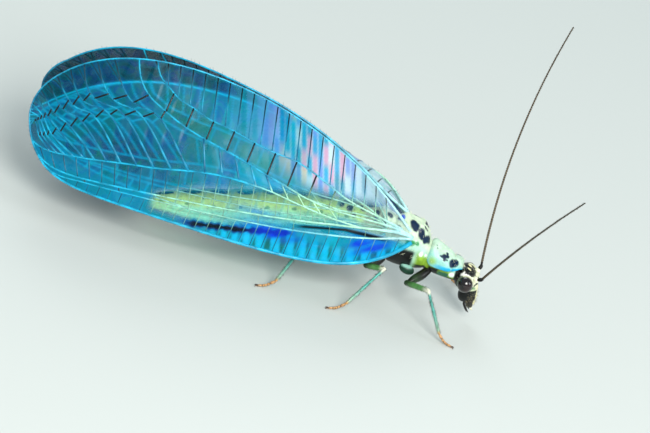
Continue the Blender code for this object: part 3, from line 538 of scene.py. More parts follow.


# The membrane's colour and cover at q, f: dark blue-green towards the tip, cyan and blue in the middle and
# along the front edge, royal blue in two fields, pearly bars of painted iridescent reflection near the root, brighter
# within reach of a vein; a line shows where the hindwing's edge lies behind, black bands of painted shade lie along
# and below the abdomen's lower edge, and over the abdomen the film is clear
def filmPaint(q, f, s, t, tone, near, behind, hind):
    colour = {name: np.array(value) for name, value in filmColours.items()}
    paint = np.broadcast_to(colour["teal"], q.shape + (3,)).copy()

    def lay(target, weight):
        nonlocal paint
        paint = paint + np.clip(weight, 0.0, 1.0)[..., None] * (target - paint)

    lay(colour["cyan"], 0.55 * tone + 0.45 * (1.0 - ease(q, 0.30, 0.62)))
    lay(colour["blue"], ease(np.modf(tone * 7.3)[0], 0.55, 0.95) * 0.6)
    lay(colour["green"], 0.75 * (f > veinAt("media", q)) * (f < veinAt("cubitus", q)) * ease(q, 0.20, 0.30))
    lay(colour["dusk"], 0.55 * np.exp(-(((q - 0.72) / 0.09) ** 2) - ((f - 0.36) / 0.09) ** 2))
    front = 1.0 - ease(f, 0.10, 0.24)
    lay(colour["green"], 0.8 * front * ease(q, 0.42, 0.52) * (1.0 - ease(q, 0.62, 0.72)))
    lay(colour["sky"], front * (0.30 + 0.30 * ease(q, 0.60, 0.70)))
    paint = paint * (1.35 - 0.85 * ease(q, 0.25, 0.80))[..., None]
    if not hind:
        beyond = edgeHeight(np.clip((s - hindWing["start"]) / hindWing["length"], 0.002, 0.998), hindWing["hind"])
        lay(colour["sky"] * 0.8, 0.75 * np.exp(-((behind / 0.034) ** 2)) * ease(q, 0.22, 0.34) * (t < beyond))
        lay(colour["dusk"], 0.9 * ease(t - beyond, 0.02, 0.12) * ease(q, 0.42, 0.58))
        lay(colour["sky"], 0.9 * np.exp(-(((t - beyond) / 0.025) ** 2)) * ease(q, 0.40, 0.52))
    bars = 0.5 + 0.5 * np.sin(2.0 * np.pi * (s - 0.2 * t) / 0.44 + 1.3 * np.sin(2.1 * s))
    lay(colour["green"] * 0.7, front * ease(0.52 - q, 0.0, 0.08) * ease(bars, 0.55, 0.80) * ease(near, 0.03, 0.09))
    lay(colour["sky"] * 1.15, front * ease(0.52 - q, 0.0, 0.08) * ease(1.0 - bars, 0.45, 0.85) * 0.8)
    lay(colour["cyan"], 0.45 * np.exp(-((near / 0.06) ** 2)) * (1.0 - 0.5 * ease(q, 0.5, 0.7)))
    # painted iridescent reflection: violet patches, and pearly bars where the film catches the light
    violet = np.exp(-(((q - 0.36) / 0.12) ** 2)) * ease(f, 0.60, 0.80)
    lay(colour["violet"], 0.45 * violet * ease(scatter(np.floor((s - 0.32 * t) / 0.19)), 0.35, 0.6))
    sheenPatch = np.exp(-(((q - 0.235) / 0.115) ** 2)) * ease(f, 0.52, 0.70)
    lay(sheenBars(s, t, colour), 0.85 * sheenPatch)
    fields = np.exp(-(((q - 0.105) / 0.045) ** 4) - ((f - 0.26) / 0.14) ** 2)
    fields = fields + np.exp(-(((q - 0.345) / 0.07) ** 2) - ((f - 0.15) / 0.05) ** 2)
    lay(colour["royal"], 1.40 * fields * (0.75 + 0.25 * np.sin(11.0 * s + 17.0 * t)))
    pale = np.exp(-((q / 0.17) ** 2)) * ease(f, 0.34, 0.50)
    lay(colour["white"], 0.85 * pale)
    # painted shade: a black band on the film along the abdomen's lower edge, for its dark underside and the shadow
    # under it
    gap = np.interp(s, (0.9, 2.33, 3.92), (-0.30, -0.42, -0.82))
    line = np.exp(-(((t - gap) / (0.085 - 0.025 * ease(s, 2.0, 2.8))) ** 4)) * ease(s, 0.6, 1.2) * (1.0 - ease(s, 3.6, 4.3))
    lay(colour["black"], line)
    # painted shadow: a blue-black band on the film below the abdomen, for the shadow there seen through the wing
    shadowBand = np.interp(s, (3.8, 5.65, 7.3), (-1.04, -1.52, -1.84))
    shadowBand = np.exp(-(((t - shadowBand) / (0.105 + 0.025 * np.sin(9.0 * s) + 0.025 * np.sin(23.0 * s))) ** 4))
    shadowBand = shadowBand * ease(s, 3.7, 4.2) * (1.0 - ease(s, 7.1, 7.9))
    lay(colour["royal"], shadowBand)
    lay(colour["black"], shadowBand * (0.35 + 0.65 * ease(s, 4.9, 5.6)))
    over = overAbdomen(s, t) * (1.0 - np.maximum(line, shadowBand))
    lay(colour["sky"], 0.4 * over)
    swirl = wings["swirl"] * (1.0 - 0.95 * np.maximum(line, shadowBand)) * (1.0 - 0.6 * np.clip(fields, 0.0, 1.0))
    cover = 0.68 + 0.10 * (tone - 0.5) + 0.10 * front + 0.12 * ease(q, 0.45, 0.75) + 0.15 * np.clip(fields, 0.0, 1.0) + 0.05 * sheenPatch
    cover = cover * (1.0 - 0.55 * pale)
    if hind:
        cover = cover * 0.62
    cover = cover * (1.0 - 0.95 * over * (1.0 - 0.7 * np.clip(fields, 0.0, 1.0)))
    cover = cover * (1.0 - 0.80 * overThorax(s, t))
    cover = cover + (0.9 - cover) * np.maximum(line, shadowBand) * (0.0 if hind else 1.0)
    return paint, np.clip(cover, 0.02, 0.94), swirl


# The membrane: a fine grid over q and f, domed between the veins by h * (1 - exp(-(d/w)^2)), where d is the
# distance to the nearest vein
def membrane(wing, runs, branches, hind, otherRuns):
    q = wing["root"] + (tipEnd - wing["root"]) * np.linspace(0.0, 1.0, 300)[:, None] ** 1.15
    f = np.linspace(0.0, 1.0, 116)[None]
    q, f = np.broadcast_arrays(q, f)
    s, t = wingPlace(wing, q, f)
    tone = cellTone(wing, q, f, branches)

    def distance(whose, kinds):
        closer = {"long": 4, "branch": 4, "cross": 2}
        dense = []
        for kind, kindRuns in kinds.items():
            for path, _, _ in kindRuns:
                at = np.linspace(0.0, len(path) - 1.0, closer[kind] * len(path))
                dense.append(np.stack([np.interp(at, np.arange(len(path)), path[:, i]) for i in (0, 1)], 1))
        veinPoints = np.concatenate(dense)
        veinS, veinT = wingPlace(whose, veinPoints[:, 0], veinPoints[:, 1])
        least = np.full(s.size, 9.0)
        for part in np.array_split(np.arange(len(veinS)), 120):
            gap = np.hypot(s.ravel()[:, None] - veinS[part], t.ravel()[:, None] - veinT[part])
            least = np.minimum(least, gap.min(axis=1))
        return least.reshape(s.shape)

    near = distance(wing, runs)
    behind = near if hind else distance(hindWing, otherRuns)
    place, normal = roofFrame(wing, s, t)
    way = np.where(tone > 0.5, 1.0, -0.6)
    place = place + normal * (wings["dome"] * way * (1.0 - np.exp(-((near / 0.16) ** 2))))[..., None]
    paint, cover, swirl = filmPaint(q, f, s, t, tone, near, behind, hind)
    edge = np.exp(-((near / 0.04) ** 2)) * (1.0 - overAbdomen(s, t))
    thickness = np.full(q.shape, wings["film"])
    return sheetSolid(place, normal, thickness, paint=paint, toneCover=cover + 0.12 * edge, toneSwirl=swirl)


# The veins: rods along the runs, laid on the wing's surface. Their colour lies between two blues, whiter
# towards the root, and goes to black with darkness
def veins(wing, runs):
    patches = []
    pale, sky, deep, black = (np.array(wings[name]) for name in ("paleVein", "skyVein", "deepVein", "blackVein"))
    for kind, sides in (("long", 8), ("branch", 6), ("cross", 6)):
        path = np.stack([run[0] for run in runs[kind]])
        radii = np.stack([run[1] for run in runs[kind]])
        dark = np.stack([run[2] for run in runs[kind]])[..., None]
        s, t = wingPlace(wing, path[..., 0], path[..., 1])
        place, normal = roofFrame(wing, s, t)
        rootward = np.exp(-((path[..., 0:1] / 0.20) ** 2)) * (kind == "long") * ease(path[..., 1:2], 0.02, 0.10)
        share = chance.uniform(0.0, 0.6, (len(path), 1, 1)) + 0.3 * np.sin(7.0 * s + 5.0 * t)[..., None]
        share = share + (0.0 if kind == "long" else 0.40)
        over = overAbdomen(s, t)[..., None] * (kind != "long" or 0.70)
        paint = sky + np.clip(share, 0.0, 1.0) * (deep - sky)
        paint = paint + (black - paint) * dark
        paint = paint + rootward * (pale - paint)
        paint = paint + over * (1.0 - 0.6 * dark) * (np.array(wings["clearVein"]) - paint)
        radii = radii * (1.0 - 0.45 * over[..., 0])
        patches.append(rods(place, radii, sides, normal, (0.01, 0.01), paint=paint))
    return patches


# Fine hairs along the veins and the edge: short cones that stand up from the vein and lean to the tip
def wingHairs(wing, runs):
    roots, normals, aims, lengths = [], [], [], []
    for kind, spacing in (("long", 0.16), ("branch", 0.20)):
        for path, _, _ in runs[kind]:
            s, t = wingPlace(wing, path[:, 0], path[:, 1])
            place, normal = roofFrame(wing, s, t)
            run = np.concatenate([[0.0], np.cumsum(np.linalg.norm(np.diff(place, axis=0), axis=1))])
            at = np.arange(0.1, run[-1], spacing)
            at = at + chance.uniform(-0.05, 0.05, len(at))
            root = np.stack([np.interp(at, run, place[:, i]) for i in range(3)], 1)
            up = unit(np.stack([np.interp(at, run, normal[:, i]) for i in range(3)], 1))
            ahead = unit(np.stack([np.interp(at, run, np.gradient(place[:, i])) for i in range(3)], 1))
            side = np.cross(up, ahead) * np.where(chance.random(len(at)) < 0.5, -1.0, 1.0)[:, None]
            roots.append(root)
            normals.append(up)
            aims.append(unit(up * 0.75 + ahead * 0.5 + side * chance.uniform(0.2, 0.8, (len(at), 1))))
            lengths.append(chance.uniform(0.09, 0.15, len(at)))
    return hairs(np.concatenate(roots), np.concatenate(aims), np.concatenate(lengths), 0.006, (0.02, 0.05, 0.05))


# Hairs: each a three-sided cone through root, middle and tip, straight unless a bend is given; every hair keeps
# a small patch of the bake map at its root's place
def hairs(roots, aims, lengths, radius, colour, bake=None, bend=None):
    n = len(roots)
    along = np.array([0.0, 0.5, 1.0])[None, :, None]
    path = roots[:, None] + along * aims[:, None] * lengths[:, None, None]
    if bend is not None:
        path = path + along**2 * bend[:, None] * lengths[:, None, None]
    radii = radius * np.array([1.0, 0.7, 0.15])[None] * np.ones((n, 1))
    paint = np.broadcast_to(np.asarray(colour, float), (n, 3, 3)) if np.ndim(colour) == 1 else np.repeat(colour[:, None], 3, 1)
    if bake is None:
        bake = np.stack([0.02 + 0.96 * chance.random(n), 0.02 + 0.96 * chance.random(n)], 1)
    patch = rods(path, radii, 3, (0.31, 0.52, 0.79), (0.0, 0.004), paint=paint)
    corner = np.array([[0.0, 0.0], [0.003, 0.0], [0.0015, 0.003]])
    spread = np.concatenate([corner, corner * 0.7, corner * 0.4, [[0.0015, 0.0]], [[0.0015, 0.003]]])
    patch["bake"] = (bake[:, None] + spread[None]).reshape(-1, 2)
    return patch


# The membrane's material: see-through by its cover, its painted colour shifted by soft waves of colour as
# on a soap film, with a slightly crumpled gloss
def filmMaterial(name):
    finish = bpy.data.materials.new(name)
    finish.use_nodes = True
    nodes, links = finish.node_tree.nodes, finish.node_tree.links
    shader = nodes["Principled BSDF"]
    shader.inputs["IOR"].default_value = 1.5
    shader.inputs["Specular IOR Level"].default_value = 0.14
    place = nodes.new("ShaderNodeTexCoord")
    paint = nodes.new("ShaderNodeAttribute")
    paint.attribute_name = "paint"
    cover = nodes.new("ShaderNodeAttribute")
    cover.attribute_name = "toneCover"
    swirl = nodes.new("ShaderNodeTexNoise")
    swirl.inputs["Scale"].default_value = 1400.0
    swirl.inputs["Detail"].default_value = 3.0
    swirl.inputs["Distortion"].default_value = 1.2
    links.new(place.outputs["Object"], swirl.inputs["Vector"])
    tint = nodes.new("ShaderNodeValToRGB")
    ramp = tint.color_ramp
    stops = ((0.30, (0.0, 0.06, 0.09)), (0.45, (0.0, 0.24, 0.34)), (0.54, (0.0, 0.10, 0.50)), (0.62, (0.04, 0.22, 0.60)), (0.72, (0.0, 0.46, 0.40)))
    ramp.elements[0].position, ramp.elements[0].color = stops[0][0], (*stops[0][1], 1.0)
    ramp.elements[1].position, ramp.elements[1].color = stops[-1][0], (*stops[-1][1], 1.0)
    for position, colour in stops[1:-1]:
        ramp.elements.new(position).color = (*colour, 1.0)
    links.new(swirl.outputs["Fac"], tint.inputs["Fac"])
    mix = nodes.new("ShaderNodeMix")
    mix.data_type = "RGBA"
    mix.blend_type = "MIX"
    share = nodes.new("ShaderNodeAttribute")
    share.attribute_name = "toneSwirl"
    links.new(share.outputs["Fac"], mix.inputs["Factor"])
    links.new(paint.outputs["Color"], mix.inputs["A"])
    links.new(tint.outputs["Color"], mix.inputs["B"])
    links.new(mix.outputs["Result"], shader.inputs["Base Color"])
    links.new(cover.outputs["Fac"], shader.inputs["Alpha"])
    ripple = nodes.new("ShaderNodeTexNoise")
    ripple.inputs["Scale"].default_value = 5200.0
    links.new(place.outputs["Object"], ripple.inputs["Vector"])
    rough = nodes.new("ShaderNodeMapRange")
    rough.inputs["To Min"].default_value = 0.18
    rough.inputs["To Max"].default_value = 0.42
    links.new(ripple.outputs["Fac"], rough.inputs["Value"])
    links.new(rough.outputs["Result"], shader.inputs["Roughness"])
    relief = nodes.new("ShaderNodeBump")
    relief.inputs["Strength"].default_value = 0.3
    relief.inputs["Distance"].default_value = 0.00002
    links.new(ripple.outputs["Fac"], relief.inputs["Height"])
    links.new(relief.outputs["Normal"], shader.inputs["Normal"])
    return finish


def makeWings():
    film = filmMaterial("wingFilm")
    veinFinish = cuticle("wingVein", roughness=0.35, mottle=0.35, fineSize=0.03, bump=0.3, coat=0.3)
    hairFinish = cuticle("wingHair", roughness=0.5, mottle=0.2, bump=0.0, coat=0.0)
    hindRuns = veinRuns(hindWing)[0]
    for label, wing, hind in (("fore", foreWing, False), ("hind", hindWing, True)):
        runs, branches = veinRuns(wing)
        skin = membrane(wing, runs, branches, hind, hindRuns)
        net = veins(wing, runs)
        fringe = wingHairs(wing, runs)
        for side in ("right", "left"):
            turn = mirrored if side == "left" else (lambda patch: patch)
            node = label + "wing_" + side
            pieceOf(label + "WingFilm_" + side, [turn(skin)], film, [node])
            pieceOf(label + "WingVeins_" + side, [turn(patch) for patch in net], veinFinish, [node])
            pieceOf(label + "WingHairs_" + side, [turn(fringe)], hairFinish, [node])


# BODY
bodyPlan = {
    "stations": (   # x, top, bottom, half width, from the neck inside the head to the waist
        (1.98, 1.66, 1.28, 0.18), (1.84, 1.76, 1.25, 0.26), (1.66, 1.86, 1.29, 0.33), (1.40, 1.98, 1.30, 0.38),
        (1.10, 2.16, 1.31, 0.43), (0.80, 2.34, 1.34, 0.47), (0.60, 2.40, 1.35, 0.45), (0.50, 2.46, 1.36, 0.45),
        (0.38, 2.66, 1.33, 0.52), (0.15, 2.86, 1.28, 0.62), (-0.15, 2.96, 1.25, 0.68), (-0.48, 3.00, 1.24, 0.68),
        (-0.72, 2.96, 1.27, 0.62), (-0.84, 2.90, 1.31, 0.56), (-0.98, 2.94, 1.30, 0.58), (-1.24, 2.98, 1.29, 0.60),
        (-1.50, 2.94, 1.31, 0.57), (-1.70, 2.86, 1.40, 0.51), (-1.86, 2.84, 1.56, 0.46),
    ),
    "waist": -1.98,
    "tail": -8.92,
    "rows": 460,
    "sides": 104,
    "ringFlare": 0.045,
    "lobe": (0.02, 0.44, 1.33),
    "lobeRadii": (0.27, 0.17, 0.17),
    "rings": 8,
    # bumps: x, degrees from the top, length, width in degrees, height
    "bumps": (
        (0.12, 26, 0.20, 17, 0.13), (-0.24, 20, 0.16, 14, 0.07), (-0.50, 0, 0.15, 14, 0.12), (-0.20, 55, 0.22, 16, 0.08),
        (-1.30, 0, 0.16, 14, 0.12), (-1.12, 32, 0.16, 16, 0.08), (0.16, 82, 0.14, 16, 0.07), (-0.36, 96, 0.20, 18, 0.05),
        (0.34, 100, 0.08, 12, 0.06), (-1.20, 92, 0.20, 18, 0.05),
    ),
    # marks: colour, x, distance from the middle, z, radius
    "marks": (
        ("leaf", -0.07, 0.66, 2.40, 0.10), ("leaf", -0.22, 0.66, 2.38, 0.09), ("leaf", 0.10, 0.64, 2.42, 0.08),
        ("white", 0.32, 0.58, 2.07, 0.085), ("white", 0.48, 0.44, 2.02, 0.055), ("cream", -0.01, 0.42, 2.84, 0.10),
        ("ink", -0.15, 0.36, 2.90, 0.156), ("ink", -0.23, 0.29, 2.96, 0.120), ("ink", -0.10, 0.44, 2.82, 0.096),
        ("ink", 0.10, 0.40, 2.79, 0.120), ("ink", 0.15, 0.46, 2.70, 0.132), ("ink", 0.21, 0.48, 2.62, 0.102),
        ("ink", 0.42, 0.26, 2.52, 0.144), ("ink", 0.37, 0.38, 2.56, 0.144), ("ink", 0.33, 0.46, 2.50, 0.096),
        ("ink", 0.21, 0.20, 2.87, 0.072), ("ink", 0.26, 0.15, 2.80, 0.072), ("ink", 0.19, 0.10, 2.88, 0.054),
        ("royal", -0.67, 0.17, 2.96, 0.132), ("ink", -0.67, 0.48, 2.69, 0.102), ("ink", -0.62, 0.52, 2.60, 0.072),
        ("ink", -0.74, 0.18, 2.92, 0.054), ("ink", -1.05, 0.22, 2.93, 0.120), ("ink", -1.16, 0.46, 2.72, 0.096),
        ("ink", -1.52, 0.25, 2.88, 0.132), ("royal", -1.44, 0.42, 2.74, 0.096), ("ink", -1.95, 0.20, 2.92, 0.156),
        ("ink", -2.39, 0.35, 2.80, 0.132), ("ink", -2.72, 0.30, 2.84, 0.132), ("ink", -2.20, 0.44, 2.62, 0.084),
    ),
    "cream": (0.58, 0.74, 0.54), "mint": (0.34, 0.68, 0.56), "lime": (0.26, 0.46, 0.04), "black": (0.003, 0.004, 0.004),
    "green": (0.62, 1.00, 0.32), "pale": (0.36, 0.96, 0.70), "white": (0.80, 0.92, 0.86), "leaf": (0.03, 0.26, 0.09),
    "ink": (0.000, 0.014, 0.045), "royal": (0.01, 0.08, 0.60), "moss": (0.02, 0.13, 0.07),
}


# The body's size at x: top, bottom and half width, by smooth curves ahead of the waist and by the rings'
# formula behind it, where each ring swells to its hind edge and the last ones taper to a rounded tail
def bodySize(x):
    plan = bodyPlan
    stations = np.array(plan["stations"])
    top, bottom, half = (flow(np.maximum(x, stations[-1, 0]), stations[:, 0], stations[:, i]) for i in (1, 2, 3))
    u = np.clip((plan["waist"] - x) / (plan["waist"] - plan["tail"]), 0.0, 1.0)
    middle = 2.36 - 1.68 * u**1.35 - 0.18 * np.exp(-(((u - 0.66) / 0.24) ** 2))
    ring = u * plan["rings"] % 1.0
    swell = 0.90 + 0.16 * np.sin(np.pi * np.minimum(u * 1.25, 1.0))
    taper = 1.0 - 0.62 * (np.maximum(u - 0.70, 0.0) / 0.30) ** 1.6
    flare = 1.0 + plan["ringFlare"] * (ring**1.5 - 0.4) - 0.05 * ease(ring, 0.93, 1.0)
    tailEnd = np.sqrt(np.clip(1.0 - (np.maximum(u - 0.965, 0.0) / 0.035) ** 2, 0.01, 1.0))
    size = swell * taper * flare * tailEnd
    blend = ease(-x, 1.86, 2.12)
    rise = 0.645 * size
    return (
        top + blend * (middle + rise - top),
        bottom + blend * (middle - rise - bottom),
        half + blend * (0.54 * size - half),
        u,
        ring,
    )


# The skin from the neck to the tail: upright ovals y = w sin a, z = middle + h cos a, with lobes added as
# bumps exp(-dx^2 - da^2), grooves between the thorax's rings and a fold along the abdomen's sides
def bodySkin():
    plan = bodyPlan
    front = np.linspace(1.98, -1.9, 200)
    back = np.linspace(-1.9, plan["tail"], plan["rows"] - 200 + 1)[1:]
    x = np.concatenate([front, back])
    top, bottom, half, u, ring = (value[:, None] for value in bodySize(x))
    x = x[:, None]
    a = 2.0 * np.pi * np.arange(plan["sides"])[None] / plan["sides"]
    away = np.minimum(a, 2.0 * np.pi - a)
    lift = np.zeros((len(x), plan["sides"]))
    for place, degrees, length, width, height in plan["bumps"]:
        lift = lift + height * np.exp(-(((x - place) / length) ** 2) - ((away - radians(degrees)) / radians(width)) ** 2)
    behind = ease(-x, 1.9, 2.2)
    lift = lift - 0.05 * behind * np.exp(-(((away - radians(112)) / radians(8)) ** 2)) * (1.0 - ease(u, 0.85, 1.0))
    lift = lift - 0.03 * np.exp(-(((x + 0.80) / 0.05) ** 2)) - 0.03 * np.exp(-(((x - 0.52) / 0.05) ** 2))
    y = (half + lift) * np.sin(a)
    z = (top + bottom) / 2.0 + ((top - bottom) / 2.0 + lift) * np.cos(a)
    points = np.stack([x + 0.0 * a, y, z], axis=2)
    return ringSkin(points, paint=bodyPaint(points, away, u, ring))


# A dark mark's strength at the points: 1 within its radius on either side, fading over the edge
def markAt(points, x, y, z, radius, soft=0.25):
    d = np.sqrt((points[..., 0] - x) ** 2 + (np.abs(points[..., 1]) - y) ** 2 + (points[..., 2] - z) ** 2)
    return 1.0 - ease(d, radius * (1.0 - soft), radius * (1.0 + soft))


# Colours of the skin: cream and mint above with blue-black marks, black low on the thorax, yellow-green and
# black under the neck, and on the abdomen a yellow-green back with dark spots in pairs and pale sides, partly their
# own colour and partly painted light on the lower flanks
def bodyPaint(points, away, u, ring):
    plan = bodyPlan
    x, z = points[..., 0], points[..., 2]
    degrees = np.degrees(away) + 0.0 * x
    u, ring = u + 0.0 * x, ring + 0.0 * x
    paint = np.broadcast_to(np.array(plan["cream"]), points.shape).copy()

    def lay(target, weight):
        nonlocal paint
        paint = paint + np.clip(weight, 0.0, 1.0)[..., None] * (np.array(plan[target]) - paint)

    lay("mint", 0.7 * ease(degrees, 50, 80))
    lay("lime", ease(degrees, 74, 96) * ease(x, 0.06, 0.30))
    lay("black", ease(degrees, 84, 92) * (1.0 - ease(x, 0.04, 0.14)) * ease(x, -2.1, -1.8))
    lay("black", ease(degrees, 122, 130) * ease(x, 0.1, 0.3))
    lay("black", (1.0 - ease(z, 1.64, 1.72)) * ease(x, 0.62, 0.72) * (1.0 - ease(x, 0.98, 1.08)))
    lay("moss", (1.0 - ease(z, 1.56, 1.66)) * ease(x, 0.98, 1.08) * (1.0 - ease(x, 1.36, 1.44)))
    lay("white", markAt(points, 1.51, 0.36, 1.57, 0.10))
    lay("black", ease(x, 1.57, 1.62))
    for target, *mark in plan["marks"]:
        lay(target, markAt(points, *mark))
    behind = ease(-x, 1.75, 2.0)
    marks = 1.0 - np.clip(sum(markAt(points, *mark[1:]) for mark in plan["marks"][-4:]), 0.0, 1.0)
    lay("green", behind * marks)
    # pale sides, partly the abdomen's own colour and partly painted light: the pale covers the whole lower flank
    lay("pale", behind * marks * ease(degrees, 62, 92) * (1.0 - 0.6 * ease(u, 0.75, 1.0)))
    lay("pale", behind * 0.5 * ease(ring, 0.82, 0.95))
    pair = np.exp(-(((degrees - 14.0) / 14.0) ** 2) - ((ring - 0.45) / 0.40) ** 2)
    lay("ink", behind * ease(pair, 0.35, 0.55) * (0.7 + 0.3 * ease(u, 0.1, 0.4)))
    side = np.exp(-(((degrees - 70.0) / 6.0) ** 2) - ((ring - 0.5) / 0.12) ** 2)
    lay("leaf", 0.7 * behind * ease(side, 0.4, 0.6))
    lay("ink", behind * ease(degrees, 148, 158))
    return np.clip(paint, 0.0, 1.0)


# The pronotum's shield: a saddle over the neck, half ovals from edge to edge along x with a thickness,
# its front rim raised
shieldPlan = {
    "stations": (   # x, top, edge height, half width
        (0.57, 2.44, 1.90, 0.47), (0.64, 2.50, 1.84, 0.52), (0.85, 2.43, 1.79, 0.56), (1.10, 2.32, 1.77, 0.56),
        (1.32, 2.21, 1.77, 0.55), (1.42, 2.13, 1.79, 0.53), (1.50, 2.13, 1.82, 0.54), (1.62, 2.09, 1.88, 0.52),
        (1.73, 2.00, 1.92, 0.44), (1.79, 1.92, 1.90, 0.36),
    ),
    "thickness": 0.05,
    "marks": (
        (1.09, 0.39, 2.16, 0.094), (1.19, 0.34, 2.17, 0.069), (1.16, 0.26, 2.24, 0.056), (1.00, 0.42, 2.15, 0.050),
        (0.94, 0.43, 2.16, 0.026), (1.12, 0.45, 2.07, 0.056), (1.20, 0.42, 2.07, 0.040), (1.42, 0.37, 1.99, 0.150),
        (1.49, 0.33, 2.05, 0.138), (1.51, 0.38, 1.96, 0.112), (1.38, 0.42, 1.92, 0.088), (0.79, 0.31, 2.35, 0.028),
        (0.74, 0.25, 2.40, 0.026),
    ),
}


def pronotumShield():
    plan = shieldPlan
    stations = np.array(plan["stations"])
    x = np.linspace(stations[0, 0], stations[-1, 0], 70)
    top, edge, half = (flow(x, stations[:, 0], stations[:, i])[:, None] for i in (1, 2, 3))
    x = x[:, None]
    b = radians(94) * np.linspace(-1.0, 1.0, 60)[None]
    inset = plan["thickness"] * np.sqrt(np.clip(np.minimum((x - x[0]) / 0.06, (x[-1] - x) / 0.06), 0.02, 1.0))
    ridge = 0.018 * np.exp(-(((x - 1.43) / 0.03) ** 2))
    outerY, outerZ = (half - ridge) * np.sin(b), edge + (top - edge - ridge) * np.cos(b)
    innerY, innerZ = (half - inset) * np.sin(b[:, ::-1]), edge + (top - edge - inset) * np.cos(b[:, ::-1]) - 0.01
    y = np.concatenate([outerY, innerY], axis=1)
    z = np.concatenate([outerZ, innerZ], axis=1)
    points = np.stack([x + 0.0 * y, y, z], axis=2)
    cream, mint, cyan = np.array([0.50, 0.72, 0.56]), np.array([0.28, 0.62, 0.54]), np.array([0.01, 0.38, 0.66])
    black = np.array(bodyPlan["ink"])
    outer = np.abs(y) / half
    paint = cream + ease(outer, 0.55, 0.95)[..., None] * (mint - cream)
    rimWeight = ease(outer, 0.94, 0.99) * ease(edge + 0.14 - z, 0.0, 0.08) * (0.45 + 0.55 * ease(x, 0.8, 1.2))
    paint = paint + np.clip(rimWeight, 0.0, 1.0)[..., None] * (cyan - paint)
    for mark in plan["marks"]:
        paint = paint + markAt(points, *mark)[..., None] * (black - paint)
    lime = markAt(points, 0.74, 0.52, 1.93, 0.13, 0.7)[..., None]
    paint = paint + 0.8 * lime * (np.array(bodyPlan["lime"]) - paint)
    return ringSkin(points, paint=np.clip(paint, 0.0, 1.0))


# Short pale hairs on the body: roots at random places of the skin's quads, leaning to the rear
def skinHairs(patch, count, lengths, radius, colour, keep=None, backward=0.7):
    p, quads = patch["points"], patch["quads"]
    centre = p[quads].mean(axis=1)
    normal = unit(np.cross(p[quads[:, 2]] - p[quads[:, 0]], p[quads[:, 3]] - p[quads[:, 1]]))
    area = np.linalg.norm(np.cross(p[quads[:, 2]] - p[quads[:, 0]], p[quads[:, 3]] - p[quads[:, 1]]), axis=1)
    weight = area * (keep(centre) if keep else 1.0)
    pick = chance.choice(len(quads), count, p=weight / weight.sum())
    back = np.array([-1.0, 0.0, 0.0])
    aims = unit(normal[pick] + backward * back + chance.normal(0.0, 0.25, (count, 3)))
    low, high = centre.min(axis=0), centre.max(axis=0)
    spread = (centre[pick] - low) / (high - low)
    bake = np.stack([0.02 + 0.96 * spread[:, 0], 0.02 + 0.96 * (0.5 + 0.5 * np.arctan2(centre[pick, 1], centre[pick, 2] - 2.0) / np.pi)], 1)
    bake = np.clip(bake, 0.01, 0.985)
    return hairs(centre[pick] - 0.006 * normal[pick], aims, chance.uniform(*lengths, count), radius, colour, bake)


# The lobe at the root of each fore leg: a flat ball, dark below, with a painted highlight in mint on top
def coxaLobe(side):
    plan = bodyPlan
    centre = np.array(plan["lobe"]) * np.array([1.0, side, 1.0])
    patch = ball(centre, plan["lobeRadii"], radians(12), 28, 20)
    dark, mint = np.array(plan["moss"]) * 0.3, np.array(plan["mint"]) * 0.8
    # painted highlight: the top of the lobe goes from dark to mint
    patch["paint"] = dark + ease(patch["points"][:, 2:] - centre[2], 0.07, 0.14) * (mint - dark)
    return patch


def makeBody():
    skin = bodySkin()
    shield = pronotumShield()
    flesh = ["prothorax", "mesothorax", "metathorax", "abdomen"]
    finish = cuticle("bodyCuticle", roughness=0.42, mottle=0.22, fineSize=0.035, bump=0.45, coat=0.12, coarseSize=0.22)
    pieceOf("bodySkin", [skin, shield, coxaLobe(-1.0), coxaLobe(1.0)], finish, flesh)
    hairFinish = cuticle("bodyHair", roughness=0.45, mottle=0.15, bump=0.0, coat=0.0)
    light, dark = (0.80, 0.84, 0.62), (0.03, 0.03, 0.02)
    coat = [
        skinHairs(skin, 1500, (0.07, 0.16), 0.0055, light, lambda c: (c[:, 0] < -1.9) * 1.0),
        skinHairs(skin, 320, (0.08, 0.17), 0.0050, light, lambda c: ((c[:, 0] > -1.9) & (c[:, 0] < 0.5) & (c[:, 2] > 1.9)) * 1.0),
        skinHairs(skin, 500, (0.06, 0.14), 0.0055, dark, lambda c: (c[:, 0] < -1.9) * (c[:, 2] > 1.0) * 1.0),
        skinHairs(shield, 150, (0.07, 0.14), 0.0045, light, lambda c: (c[:, 2] > 1.9) * 1.0, 0.3),
    ]
    pieceOf("bodyHairs", coat, hairFinish, flesh)


# HEAD
headPlan = {
    "heart": (2.08, 0.0, 1.36),
    # rounded masses: centre, radii, pitch in degrees; those with y stand on both sides
    "masses": (
        ((2.02, 0.0, 1.44), (0.34, 0.50, 0.45), -16), ((1.94, 0.17, 1.62), (0.24, 0.24, 0.30), -16),
        ((2.26, 0.0, 1.20), (0.24, 0.34, 0.42), -8), ((2.34, 0.0, 0.94), (0.20, 0.26, 0.28), -6),
        ((2.14, 0.22, 1.06), (0.24, 0.24, 0.34), 10), ((2.26, 0.25, 1.56), (0.17, 0.17, 0.17), 0),
        ((1.84, 0.0, 1.46), (0.22, 0.34, 0.34), 0), ((2.36, 0.0, 0.76), (0.16, 0.19, 0.16), 0),
    ),
    "sharpness": 16.0,
    "rows": 130,
    "sides": 150,
    "eyeCentre": (2.03, 0.60, 1.50),
    "eyeRadii": (0.255, 0.235, 0.275),
}


